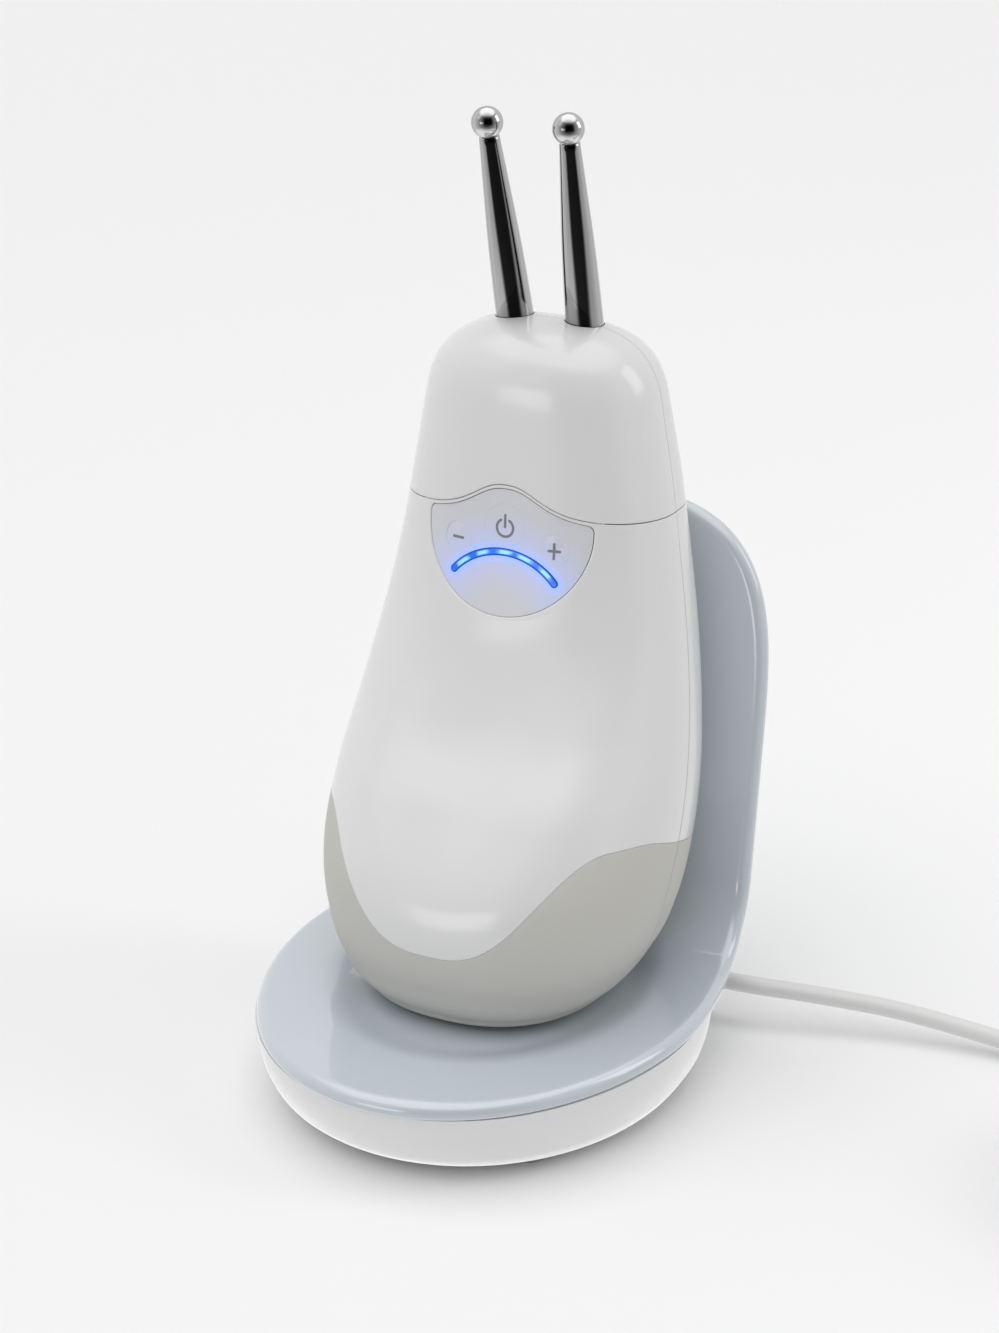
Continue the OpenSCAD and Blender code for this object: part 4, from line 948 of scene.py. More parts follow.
def mirror(name, tone, stops, **values):
    """Polished metal that mirrors its surroundings, with a painted reflection in its colour: dark where it
    faces the eye, greyer where it turns away, along the given stops.
    """
    made = metal(name, tone, **values)
    tree = made.node_tree
    # Painted reflection: the facing ramp darkens the metal's colour where it faces the eye
    angle_on = node(tree, "LayerWeight")
    angle_on.inputs["Blend"].default_value = 0.5
    ramp = node(tree, "ValToRGB")
    while len(ramp.color_ramp.elements) < len(stops):
        ramp.color_ramp.elements.new(1.0)
    for element, (at, grey) in zip(ramp.color_ramp.elements, stops):
        element.position = at
        element.color = (grey, grey, grey, 1)
    wire(tree, angle_on.outputs["Facing"], ramp.inputs["Fac"])
    shade = node(tree, "Mix", data_type="RGBA", blend_type="MULTIPLY")
    shade.inputs["Factor"].default_value = 1.0
    inner = tree.nodes["Surface"]
    colours = [s for s in shade.inputs if s.type == "RGBA"]
    wire(tree, inner.outputs["Color"], colours[0])
    wire(tree, ramp.outputs["Color"], colours[1])
    shaded = next(s for s in shade.outputs if s.type == "RGBA")
    wire(tree, shaded, tree.nodes["Principled BSDF"].inputs["Base Color"])
    return made


def wound_copper(name):
    """Copper winding with its turns as fine rings, the darker bands painted shade between the turns."""
    made = metal(name, (0.6, 0.25, 0.1), Roughness=0.3, Lines=0.1)
    tree = made.node_tree
    place = node(tree, "TexCoord")
    turns = node(tree, "TexWave", wave_type="BANDS", bands_direction="Y")
    turns.inputs["Scale"].default_value = 900.0
    wire(tree, place.outputs["Object"], turns.inputs["Vector"])
    # Painted shade: the colour darkens in bands between the turns
    wire(tree, blend(tree, turns.outputs["Fac"], (0.3, 0.1, 0.04), (0.66, 0.28, 0.11)),
         tree.nodes["Surface"].inputs["Color"])
    return made


# ---- operators: handset ---------------------------------------------------------------------

def wall_piece(places, name, points, inside, wall, edge=0.0):
    """An open sheet of the handset, seated, welded and given a wall towards a point inside it."""
    piece = laid_grid(name, places.seated(points))
    edit(piece, merge_doubles)
    turn_out(piece, places.seated(inside))
    thicken(piece, wall, edge)
    return piece


class MakeBody(bpy.types.Operator):
    """Model the two white shells of the handset body, with the opening for the control panel"""
    bl_idname = "toning.body"
    bl_label = "Handset body"

    columns = 177
    rows = 150
    lip_steps = (0, 0.12, 0.26, 0.42, 0.6, 0.8, 1)
    # The block of faces that the panel's opening replaces reaches so far past it, below and beside
    block_below, block_beside = 1.8, 2.4
    # The lip: its clearance round the film, its largest share of the room, and its depth below the film
    lip_clear, lip_share, lip_deep = 0.04, 0.72, 0.17
    # The board's bosses: their lean, place across and along the board, reach to it and clearance to the wall
    boss_lean, boss_x, boss_along, boss_reach, boss_clear = math.radians(-6), 12.8, (-34, -7.5), 7.1, 1.2

    def front(self, form, places):
        """The front shell's wall, open at its upper and lower edges and round the panel's film."""
        grid = form.patch(lambda x, y: form.grip_line(x, y) + form.size.grip_gap / 2,
                          lambda x, y: form.part_line(x) - form.size.head_gap / 2, self.rows, self.columns)
        middle = self.columns // 2
        low = int(np.argmax(grid[:, middle, 2] > form.panel_z - form.panel.drop - self.block_below))
        beside = form.panel.width / 2 + self.block_beside
        half = int(np.argmin(np.abs(np.abs(grid[-8, middle:, 0]) - beside)))
        left, right = middle - half, middle + half
        shell = laid_grid("front_shell_piece", places.seated(grid))
        keep = grid.shape[0] - 1
        ring = ([(keep, c) for c in range(left, right)] + [(r, right) for r in range(keep, low, -1)]
                + [(low, c) for c in range(right, left, -1)] + [(r, left) for r in range(low, keep)])
        edge = np.array([grid[r, c] for r, c in ring + ring[:1]])
        self.open_block(shell, self.columns - 1, low, left, right)
        join(shell, laid_grid("panel_lip", places.seated(self.lip(form, edge))))
        edit(shell, lambda: merge_doubles(4e-6))
        turn_out(shell, places.seated([0, 25, 60]))
        thicken(shell, form.size.shell_wall, form.size.edge_round)
        return shell

    def open_block(self, shell, across, low, left, right):
        """Delete a block of a grid that is so many faces across, up to its last row."""
        pick(shell)
        chosen = np.zeros(len(shell.data.polygons), bool)
        for face in shell.data.polygons:
            row, column = divmod(face.index, across)
            chosen[face.index] = row >= low and left <= column < right
        shell.data.polygons.foreach_set("select", chosen)
        bpy.ops.object.mode_set(mode="EDIT")
        bpy.ops.mesh.select_mode(type="FACE")
        bpy.ops.object.mode_set(mode="OBJECT")
        shell.data.polygons.foreach_set("select", chosen)
        bpy.ops.object.mode_set(mode="EDIT")
        bpy.ops.mesh.delete(type="FACE")
        bpy.ops.mesh.select_mode(type="VERT")
        bpy.ops.object.mode_set(mode="OBJECT")

    def lip(self, form, edge):
        """Rows from the panel's opening, down its rounded lip, out to the edge of the deleted block."""
        middle, radius = form.shield()
        out = edge[:, [0, 2]] - middle
        bearing = np.arctan2(out[:, 1], out[:, 0])
        rim = middle + (radius(bearing) + self.lip_clear)[:, None] * stack(np.cos(bearing), np.sin(bearing))
        room = np.hypot(*(edge[:, [0, 2]] - rim).T)
        width = np.minimum(form.panel.lip, self.lip_share * room)
        rows = []
        for step in self.lip_steps:
            at = rim + (edge[:, [0, 2]] - rim) * (width * step / room)[:, None]
            sunk = (form.panel.sink + self.lip_deep) * (1 - math.sqrt(1 - (1 - step) ** 2))
            rows.append(stack(at[:, 0], form.surface_y(at[:, 0], at[:, 1]) + sunk, at[:, 1]))
        start = rim + (edge[:, [0, 2]] - rim) * (width / room)[:, None]
        for step in (0.2, 0.45, 0.72):
            at = start + (edge[:, [0, 2]] - start) * step
            rows.append(stack(at[:, 0], form.surface_y(at[:, 0], at[:, 1]), at[:, 1]))
        rows.append(edge)
        return np.array(rows)

    def liner(self, form, places, back):
        """The shell under the grip, down to the foot."""
        inset = form.size.grip_t + 0.1
        grid = form.patch(0, lambda x, y: form.grip_line(x, y, back), 40, 97, back=back, inset=inset,
                          crowd=1.5)
        cap = [foot_row(grid[0], k) for k in np.linspace(0, 1, 9)[:-1]]
        return wall_piece(places, "shell_liner", np.vstack([cap, grid]), [0, 4, 30],
                          form.size.shell_wall - inset)

    def execute(self, context):
        _device, form, places = work(context)
        shell = self.front(form, places)
        join(shell, self.liner(form, places, False), *self.bosses(form, places))
        dress(shell, "handset", "shell_white", "front_shell")
        grid = form.patch(lambda x, y: form.grip_line(x, y, True) + form.size.grip_gap / 2,
                          lambda x, y: form.part_line(x) - form.size.head_gap / 2, 110, 161, back=True)
        rear = wall_piece(places, "rear_shell_piece", grid, [0, 15, 60], form.size.shell_wall,
                          form.size.edge_round)
        liner = self.liner(form, places, True)
        carve(liner, *pad_cutters(places))
        join(rear, liner)
        dress(rear, "handset", "shell_white", "rear_shell")
        return {"FINISHED"}

    def bosses(self, form, places):
        """The four bosses that carry the board, from the inside of the front wall."""
        lean, reach = self.boss_lean, self.boss_reach
        film_y = float(form.surface_y(0.0, form.level_z)) + form.panel.sink
        made = []
        for x in (-self.boss_x, self.boss_x):
            for z in self.boss_along:
                at = np.array([x, film_y + reach * math.cos(lean) - z * math.sin(lean),
                               form.level_z + reach * math.sin(lean) + z * math.cos(lean)])
                rim = circle(at[0], at[2], 2, 16)
                deep = at[1] - float(form.surface_y(rim[:, 0], rim[:, 1]).max()) - self.boss_clear
                place = (Matrix.Translation(tuple(places.seated(at)))
                         @ Matrix.Rotation(math.radians(90) + lean, 4, "X"))
                profile = [(0, 0), (0.85, 0), (0.9, 0.05), (2, 0.05), (2, deep), (0, deep)]
                made.append(lathe("board_boss", profile, place, 24))
        return made


def foot_row(row, k):
    """A row of the foot's flat end: the lowest section drawn to its middle."""
    out = row.copy()
    seam = row[0, 1]
    out[:, 0] = row[:, 0] * k
    out[:, 1] = seam + (row[:, 1] - seam) * k
    return out


def pad_cutters(places):
    """Round cutters where the two charge pads show in the foot."""
    return [prism("pad_cutter", circle(side * PIN_X, places.seat_y + PIN_Y, 1.9, 40), places.seat_z - 2,
                  places.seat_z + 3.6) for side in (-1, 1)]


class MakeGrips(bpy.types.Operator):
    """Model the soft grey grip that wraps the foot of the handset"""
    bl_idname = "toning.grips"
    bl_label = "Soft grips"

    def execute(self, context):
        _device, form, places = work(context)
        for back, name in ((False, "front_grip"), (True, "rear_grip")):
            under = form.size.grip_gap / 2
            grid = form.patch(0, lambda x, y: form.grip_line(x, y, back) - under, 70, 161, back=back,
                              crowd=1.45)
            cap = [foot_row(grid[0], k) for k in np.linspace(0, 1, 13)[:-1]]
            grip = wall_piece(places, name + "_piece", np.vstack([cap, grid]), [0, 4, 30],
                              form.size.grip_t, form.size.edge_round)
            if back:
                carve(grip, *pad_cutters(places))
            dress(grip, "handset", "grip_grey", name)
        return {"FINISHED"}


class MakePanel(bpy.types.Operator):
    """Model the panel film, the light arc, the three buttons and their printed symbols"""
    bl_idname = "toning.panel"
    bl_label = "Control panel"

    # The symbols: radius of the power ring, and half the length of the minus and of the plus sign's upright
    ring_r, sign_reach, plus_reach = 1.6, 1.0, 1.35
    # The nubs over the signs: height, radius and how far they lie above the signs
    nub_h, nub_r, nub_z = 0.16, 1.55, 1.25
    # The caps: thickness, tilt of the outer ones' guides, and the stems' reach below the film
    cap_t, cap_tilt, power_stem, level_stem = 1.1, math.radians(10), 4.8, 4.25
    film_clear = 0.03

    def film(self, form, places):
        """The panel's film, sunk evenly below the housing's surface."""
        middle, radius = form.shield()
        bearing = np.linspace(-math.pi, math.pi, 241)
        rim = radius(bearing) - self.film_clear
        rows = []
        for k in (*np.linspace(0, 0.97, 34), 1):
            x, z = middle[0] + k * rim * np.cos(bearing), middle[1] + k * rim * np.sin(bearing)
            rows.append(stack(x, form.surface_y(x, z) + form.panel.sink, z))
        return wall_piece(places, "control_panel_piece", rows, [0, 25, 80], form.panel.film_t)

    def nubs(self, form, x, z):
        """Height of the two soft nubs over the minus and plus signs."""
        away = np.hypot(np.abs(x) - form.level_x, z - form.level_z - self.nub_z)
        return self.nub_h * bump(away / self.nub_r)

    def pressed(self, form, places, name, x0, z0, rings):
        """A closed block along a button's travel, from rings of radius and depth below the film's face."""
        press = next(j for j in frame["record"]["behaviour"]["joints"] if j["child"] == name)["axis"]
        turn = np.linspace(0, 2 * math.pi, 97)
        middle_y = float(form.surface_y(x0, z0))
        rows = []
        for radius, deep, nubs in rings:
            x, z = x0 + radius * np.cos(turn), z0 + radius * np.sin(turn)
            y = form.surface_y(x, z) + deep
            past = (y - middle_y) / press[1]
            y = y - nubs * self.nubs(form, x, z)
            rows.append(stack(x + past * press[0], y, z + past * press[2]))
        return closed_grid(name + "_piece", places.seated(rows))

    def cap(self, form, places, name, x0, z0, dia):
        """A button's cap, flush with the film, on its guide, flange and stem."""
        sink, thick = form.panel.sink, self.cap_t
        rings = [(k * dia / 2, sink, 1) for k in np.linspace(0, 1, 24)]
        rings += [(k * dia / 2, sink + thick, 0) for k in (1, 0.5, 0)]
        cap = self.pressed(form, places, name, x0, z0, rings)
        at = places.seated([x0, float(form.surface_y(x0, z0)) + sink, z0])
        side = self.cap_tilt * (0 if x0 == 0 else math.copysign(1, x0))
        place = (Matrix.Translation(tuple(at)) @ Matrix.Rotation(side, 4, "Z")
                 @ Matrix.Rotation(math.radians(84), 4, "X"))
        r, stem = dia / 2 - 0.5, self.power_stem if x0 == 0 else self.level_stem
        profile = [(0, -0.7), (r, -0.7), (r, -2.95), (r + 0.9, -2.95), (r + 0.9, -3.65), (1.2, -3.65),
                   (1.2, -stem), (0, -stem)]
        return join(cap, lathe("button_guide", rounded_profile(profile, 0.12, 2), place, 48))

    def arc(self, form, places, name, half_width, depth_from, depth_to, dome=0.0):
        """A curved bar with round ends along the light arc."""
        reach = math.radians(form.panel.arc_half) + form.panel.arc_w / 2 / form.panel.arc_r
        end = half_width / form.panel.arc_r
        run = np.concatenate([-reach + end * (1 - np.cos(np.linspace(0, math.pi / 2, 9))),
                              np.linspace(-reach + end, reach - end, 73)[1:-1],
                              reach - end * (1 - np.cos(np.linspace(math.pi / 2, 0, 9)))])
        taper = np.sqrt(np.clip(1 - ((np.abs(run) - (reach - end)) / end).clip(0, 1) ** 2, 0, 1))
        across = np.concatenate([np.linspace(-1, 1, 9), np.linspace(1, -1, 9)])
        deep = np.concatenate([np.full(9, depth_to), np.full(9, depth_from)])
        across, deep = np.append(across, across[0]), np.append(deep, deep[0])
        rows = []
        for q, d in zip(across, deep):
            offset = q * half_width * taper
            x = (form.panel.arc_r + offset) * np.sin(run)
            z = form.arc_z + (form.panel.arc_r + offset) * np.cos(run)
            lift = dome * (1 - q ** 4) * taper if d == depth_from else 0
            rows.append(stack(x, form.surface_y(x, z) + d - lift, z))
        return closed_grid(name, places.seated(rows))

    def stroke(self, form, places, line, name="stroke"):
        """A printed stroke with round ends along a line of x and z, just proud of the cap."""
        sink, width = form.panel.sink, form.panel.stroke
        along = np.gradient(line, axis=0)
        along /= np.linalg.norm(along, axis=1)[:, None]
        side = stack(-along[:, 1], along[:, 0])
        ends = [np.linspace(-1, 0, 5), np.zeros(len(line)), np.linspace(0, 1, 5)]
        line, side, along = (np.vstack([np.repeat(rows[:1], 5, 0), rows, np.repeat(rows[-1:], 5, 0)])
                             for rows in (line, side, along))
        past = np.concatenate(ends)
        centre = line + along * (past * width / 2)[:, None]
        half = width / 2 * np.sqrt(np.clip(1 - past ** 2, 0, 1))
        rows = []
        for q, lift in ((-1, -0.03), (-1, 0.02), (-0.5, 0.03), (0, 0.03), (0.5, 0.03), (1, 0.02), (1, -0.03),
                        (-1, -0.03)):
            at = centre + side * (q * half)[:, None]
            deep = form.surface_y(at[:, 0], at[:, 1]) + sink - lift - self.nubs(form, at[:, 0], at[:, 1])
            rows.append(stack(at[:, 0], deep, at[:, 1]))
        return closed_grid(name, places.seated(rows))

    def symbols(self, form, places):
        """Power ring and bar, minus and plus."""
        turn = np.radians(np.linspace(31, 329, 61))
        ring = stack(self.ring_r * np.sin(turn), form.power_z - 0.5 + self.ring_r * np.cos(turn))
        bar = np.linspace((0, form.power_z - 0.35), (0, form.power_z + 1.85), 12)
        x, z, reach = form.level_x, form.level_z - 0.25, self.sign_reach
        left, right = (np.linspace((at - reach, z), (at + reach, z), 12) for at in (-x, x))
        upright_bar = np.linspace((x, z - self.plus_reach), (x, z + self.plus_reach), 16)
        power = join(self.stroke(form, places, ring, "power_symbol"), self.stroke(form, places, bar))
        minus = self.stroke(form, places, left, "minus_symbol")
        plus = join(self.stroke(form, places, right, "plus_symbol"), self.stroke(form, places, upright_bar))
        for piece, body in ((power, "power_button"), (minus, "minus_button"), (plus, "plus_button")):
            dress(piece, body, "button_film", look="print_grey")

    def hole(self, form, places, name, x0, z0, dia):
        """Cutter for a cap's hole, along the button's travel."""
        r = dia / 2 + form.panel.cap_gap
        return self.pressed(form, places, name, x0, z0, [(0, -2, 0), (r, -2, 0), (r, 2.5, 0), (0, 2.5, 0)])

    def execute(self, context):
        _device, form, places = work(context)
        film = self.film(form, places)
        sink = form.panel.sink
        arc_half = form.panel.arc_w / 2
        power = (0, form.power_z, form.panel.power_dia)
        levels = [(side * form.level_x, form.level_z, form.panel.level_dia) for side in (-1, 1)]
        carve(film, self.arc(form, places, "arc_cutter", arc_half + 0.02, sink - 1.5, sink + 2.2))
        buttons = {"power_button": power, "minus_button": levels[0], "plus_button": levels[1]}
        carve(film, *[self.hole(form, places, name, *spot) for name, spot in buttons.items()])
        dress(film, "handset", "panel_film", "control_panel", over=30)
        guide = self.arc(form, places, "light_arc_piece", arc_half, sink + 0.03, sink + 2.4, dome=0.06)
        dress(guide, "handset", "light_guide", "light_arc", over=50)
        for name, spot in buttons.items():
            dress(self.cap(form, places, name, *spot), name, "button_film", name)
        self.symbols(form, places)
        return {"FINISHED"}


class MakeHead(bpy.types.Operator):
    """Model the two shells of the probe head with the holes for the rods"""
    bl_idname = "toning.head"
    bl_label = "Probe head"

    def execute(self, context):
        device, form, places = work(context)
        for back, name in ((False, "head_front_shell"), (True, "head_rear_shell")):
            grid = form.patch(lambda x, y: form.part_line(x) + form.size.head_gap / 2, form.crown_z, 30, 161,
                              back=back, crown_rows=56)
            shell = wall_piece(places, name + "_piece", grid, [0, 20, 100], form.size.shell_wall,
                               form.size.edge_round)
            r = in_mm(device.probe).rod_dia / 2 + 0.07
            for side in (-1, 1):
                place = rod_place(device, form, places, side)
                carve(shell, lathe("rod_cutter", [(0, -10), (r, -10), (r, 8), (0, 8)], place, 96))
            dress(shell, "head", "shell_white", name)
        return {"FINISHED"}


# Depth and height of the rods' reference point in the handset's own frame
ROD_ROOT = (20.4, 122.5)


def rod_place(device, form, places, side):
    """Placement on a rod's axis, with the origin where it leaves the head."""
    probe = in_mm(device.probe)
    at = places.seated([side * probe.pitch / 2, ROD_ROOT[0] * form.ky, ROD_ROOT[1] * form.kz])
    return (Matrix.Translation(tuple(at)) @ Matrix.Rotation(math.radians(side * probe.splay), 4, "Y")
            @ Matrix.Rotation(math.radians(probe.lean), 4, "X"))


class MakeProbes(bpy.types.Operator):
    """Turn the two tapered rods and their balls"""
    bl_idname = "toning.probes"
    bl_label = "Rods and balls"

    def execute(self, context):
        device, form, places = work(context)
        probe = in_mm(device.probe)
        root, neck = probe.rod_dia / 2, probe.neck_dia / 2
        top, low = probe.rod_len - probe.ball_dia / 2 + 0.5, -probe.rod_root
        heights = low + np.array([0, 0.25, 0.5, 0.73, 0.94, 1.0]) * (top - low)
        radii = neck + np.array([1, 0.86, 0.65, 0.36, 0.08, 0]) * (root - neck)
        taper = [(float(curve(heights, radii, np.array(z))), z) for z in np.linspace(low, top - 0.4, 44)]
        stem = [(0, -14.5), (2.0, -14.5), (2.3, -14.2), (2.3, low - 3.5), (root - 0.1, low - 3.5),
                (root, low - 3.4)]
        profile = stem + taper + [(neck - 0.05, top - 0.25), (neck - 0.3, top), (0, top)]
        turn = np.linspace(-math.pi / 2, math.pi / 2, 41)
        r = probe.ball_dia / 2
        ball_profile = [(0, -r + 1.6)]
        ball_profile += [(r * math.cos(t), r * math.sin(t)) for t in turn if r * math.sin(t) > -r + 0.55]
        ball_profile[-1] = (0, r)
        for side, tag in ((-1, "left"), (1, "right")):
            place = rod_place(device, form, places, side)
            rod = lathe(f"rod_{tag}_piece", profile, place, 96)
            dress(rod, "head", "probe_steel", f"rod_{tag}", over=30)
            ball = lathe(f"ball_{tag}_piece", ball_profile, place @ upright(0, 0, probe.rod_len), 96)
            dress(ball, "head", "ball_chrome", f"ball_{tag}")
        return {"FINISHED"}


# ---- operators: cradle ----------------------------------------------------------------------

TRAY_FRONT_LEN = 53
PLATE_HEAD_LEN = 46
PLATE_POWER = 3.3
HOLLOW_SIZE = (30.5, 36)
HOLLOW_S = 52.5
SEAT_R = 20.5
SEAT_SHIFT = 2.5
# How far the line that the sheet's rows shrink to stays from the sheet's two ends
SPINE_ENDS = (36, 34)
LOW_RIM_R = 0.5
POST_PLACES = ((-25, -17), (25, -17), (-24, 16), (24, 16))
BASE_MID = 2
FOOT_PLACES = ((-21.5, -25), (21.5, -25), (-26, 24), (26, 24))
FOOT_R = 3.4
BASE_POWER = 2.9
# Share of the height, and how far each section is drawn in at the front, sides and back
BASE_FORM = ((0, 9.6, 6.2, 6), (0.06, 7.6, 4.6, 4.6), (0.2, 4.8, 2.9, 3.2), (0.45, 2.3, 1.5, 1.8),
             (0.75, 0.9, 0.7, 0.8), (1, 0.5, 0.4, 0.4))


class MakeTray(bpy.types.Operator):
    """Model the bent sheet that is the cradle's tray and back plate"""
    bl_idname = "toning.tray"
    bl_label = "Tray and back plate"

    def outline(self, places):
        """The sheet's flat outline, from the front round the right side to the top and back."""
        size = places.size
        turn = np.linspace(0, math.pi / 2, 56)
        nose = stack(size.tray_w / 2 * np.sin(turn), TRAY_FRONT_LEN * (1 - np.cos(turn)))
        s = np.linspace(TRAY_FRONT_LEN, places.sheet_len - PLATE_HEAD_LEN, 50)[1:-1]
        narrower = (size.tray_w - size.plate_w) / 2 * ease((s - TRAY_FRONT_LEN) / 30)
        side = stack(size.tray_w / 2 - narrower, s)
        head = stack(size.plate_w / 2 * spow(np.cos(turn), 2 / PLATE_POWER),
                         places.sheet_len - PLATE_HEAD_LEN * (1 - spow(np.sin(turn), 2 / PLATE_POWER)))
        right = np.vstack([nose, side, head])
        run = np.concatenate([[0], np.cumsum(np.hypot(*np.diff(right, axis=0).T))])
        even = np.linspace(0, run[-1], 150)
        right = stack(np.interp(even, run, right[:, 0]), np.interp(even, run, right[:, 1]))
        right[0, 0] = right[-1, 0] = 0
        return np.vstack([right, (right * [-1, 1])[-2::-1]])

    def hollow(self, places, x, s):
        """Height of the upper surface: the soft hollow and the seat in it."""
        size = places.size
        reach = np.hypot(x / HOLLOW_SIZE[0], (s - HOLLOW_S) / HOLLOW_SIZE[1])
        seat_s = places.seat_y - SEAT_SHIFT + size.depth / 2
        seat = np.hypot(x, s - seat_s) / SEAT_R
        flat = s < places.tray_len + 4
        deep = size.hollow_depth * (1 - ease((reach - 0.8) / 0.24))
        return -np.maximum(deep, size.seat_depth * (1 - ease((seat - 0.78) / 0.3)) * flat)

    def execute(self, context):
        _device, _form, places = work(context)
        size = places.size
        ring = self.outline(places)
        ahead = np.roll(ring[:-1], -1, axis=0) - np.roll(ring[:-1], 1, axis=0)
        ahead = np.vstack([ahead, ahead[:1]])
        inward = stack(-ahead[:, 1], ahead[:, 0]) / np.linalg.norm(ahead, axis=1)[:, None]
        spine = stack(0.0, np.clip(ring[:, 1], SPINE_ENDS[0], places.sheet_len - SPINE_ENDS[1]))

        def rows(edge, h, ks, dished):
            """Rows of the sheet from its edge in to its spine."""
            for k in ks:
                flat = edge + (spine - edge) * k
                level = h + (self.hollow(places, flat[:, 0], flat[:, 1]) if dished else 0)
                yield places.bent(flat[:, 0], flat[:, 1], level)

        r = size.rim_r
        turn = np.linspace(0, math.pi / 2, 7)
        grid = list(rows(ring + inward * r, 0, np.linspace(1, 0, 56), True))
        for t in turn[1:]:
            grid.append(places.bent(*(ring + inward * r * (1 - math.sin(t))).T, -r * (1 - math.cos(t))))
        for t in turn:
            under = -size.sheet_t + LOW_RIM_R * (1 - math.sin(t))
            grid.append(places.bent(*(ring + inward * LOW_RIM_R * (1 - math.cos(t))).T, under))
        grid += list(rows(ring + inward * LOW_RIM_R, -size.sheet_t, np.linspace(0, 1, 24)[1:], False))
        tray = closed_grid("cradle_tray_piece", grid)
        for side in (-1, 1):
            carve(tray, prism("pin_cutter", circle(side * PIN_X, places.seat_y + PIN_Y, 1.5, 40), 8, 22))
        top = size.tray_top - size.sheet_t
        profile = [(0, 12), (1.1, 12), (1.1, 3.3), (3.2, 3.3), (3.2, top + 0.3), (0, top + 0.3)]
        posts = [lathe("screw_post", profile, upright(x, y, 0), 32) for x, y in POST_PLACES]
        join(tray, *posts)
        dress(tray, "cradle", "cradle_blue", "cradle_tray", over=35)
        return {"FINISHED"}


class MakeBase(bpy.types.Operator):
    """Model the white base shell with the boss that the cord leaves, and the rubber feet"""
    bl_idname = "toning.base"
    bl_label = "Base shell and feet"

    # The boss: width, height and corners, and how far its front and back lie from the base and the relief
    boss_w, boss_h, boss_r, boss_front, boss_back = 27, 12.6, 3, 12, 6.6

    def sheet_under(self, places, y, gap):
        """Height of the sheet's underside at y, less a gap."""
        size = places.size
        radius = size.bend_r + size.sheet_t + gap
        across = np.clip(y - places.bend_y, 0, radius * math.sin(places.rise))
        return size.tray_top + size.bend_r - np.sqrt(radius ** 2 - across ** 2)

    def loft(self, places, name, inset, low, gap):
        """A closed solid from the floor up to the sheet's underside."""
        size = places.size
        turn = np.linspace(0, 2 * math.pi, 181)
        back = turn < math.pi
        top = size.tray_top - size.sheet_t
        shares, fronts, sides, backs = (np.array(c, float) for c in zip(*BASE_FORM))
        low_z = size.foot_h + low

        def ring(z):
            """The section at height z."""
            k = np.clip((z - low_z) / (top - low_z), 0, 1)
            a = size.tray_w / 2 - curve(shares, sides, k) - inset
            f = size.depth / 2 + BASE_MID - curve(shares, fronts, k) - inset
            b = places.base_back - BASE_MID - curve(shares, backs, k) - inset
            x = a * np.where(back, spow(np.cos(turn), 2 / BASE_POWER), np.cos(turn))
            y = BASE_MID + np.where(back, b * spow(np.abs(np.sin(turn)), 2 / BASE_POWER), f * np.sin(turn))
            return x, y

        top_y = ring(size.plate_top)[1]
        high = self.sheet_under(places, top_y, gap)
        grid = [stack(turn * 0, BASE_MID, low_z)]
        for u in np.linspace(0, 1, 30) ** 1.5:
            z = low_z + (high - low_z) * u
            grid.append(stack(*ring(z), z))
        rim = grid[-1]
        for k in np.linspace(1, 0, 12)[1:]:
            y = BASE_MID + (rim[:, 1] - BASE_MID) * k
            grid.append(stack(rim[:, 0] * k, y, self.sheet_under(places, y, gap)))
        return closed_grid(name, grid)

    def boss(self, places, name, inset, low):
        """The boss behind the base, with its upper edge rounded."""
        x1, back = places.relief[0], places.relief[1] + self.boss_back
        outline = rounded_box(x1 - self.boss_w + inset, BASE_MID + self.boss_front, x1 - inset, back - inset,
                              self.boss_r - inset * 0.8)
        solid = prism(name, outline, places.size.foot_h + low, places.size.foot_h + self.boss_h - inset)
        if not inset:
            round_edges(solid, 0.6, 60)
        return solid

    def execute(self, context):
        _device, _form, places = work(context)
        wall = places.size.base_wall
        shell = self.loft(places, "base_shell_piece", 0, 0, 0.06)
        carve(shell, self.boss(places, "cord_boss", 0, 0), operation="UNION")
        carve(shell, self.loft(places, "base_inside", wall, -0.5, wall + 0.06))
        carve(shell, self.boss(places, "boss_inside", wall, -0.2))
        x, y, z = places.relief
        profile = [(0, 0), (2.75, 0), (2.75, wall + 2), (0, wall + 2)]
        carve(shell, lathe("relief_hole", profile, along_x(x - wall - 1, y, z), 48))
        dress(shell, "cradle", "shell_white", "base_shell", over=35)
        high = places.size.foot_h
        profile = rounded_profile([(0, 0), (FOOT_R, 0), (FOOT_R, high), (0, high)])
        feet = [lathe("rubber_foot", profile, upright(*at, 0), 40) for at in FOOT_PLACES]
        join(*feet)
        dress(feet[0], "cradle", "foot_rubber", "rubber_feet")
        return {"FINISHED"}


# ---- operators: cord ------------------------------------------------------------------------

# Points that the cord runs through from the strain relief to the coil, in metres
ROUTE = (
    (0.035, 0.0366, 0.008), (0.039, 0.0367, 0.008), (0.043, 0.0374, 0.0078), (0.048, 0.0388, 0.0075),
    (0.054, 0.0404, 0.007), (0.060, 0.042, 0.0064), (0.066, 0.0434, 0.0058), (0.073, 0.0444, 0.005),
    (0.080, 0.045, 0.0042), (0.088, 0.0452, 0.0034), (0.096, 0.045, 0.0028), (0.104, 0.0442, 0.0024),
    (0.112, 0.0426, 0.0024), (0.120, 0.041, 0.0024), (0.128, 0.0401, 0.0024), (0.134, 0.040, 0.0024),
)
COIL_MID = (134, 13.2)
COIL_TURNS = 3
COIL_LAYERS = 4
COIL_STEPS = 36
TIE_T = 0.5
COIL_TAIL = 8
PLUG_RELIEF_LEN = 20


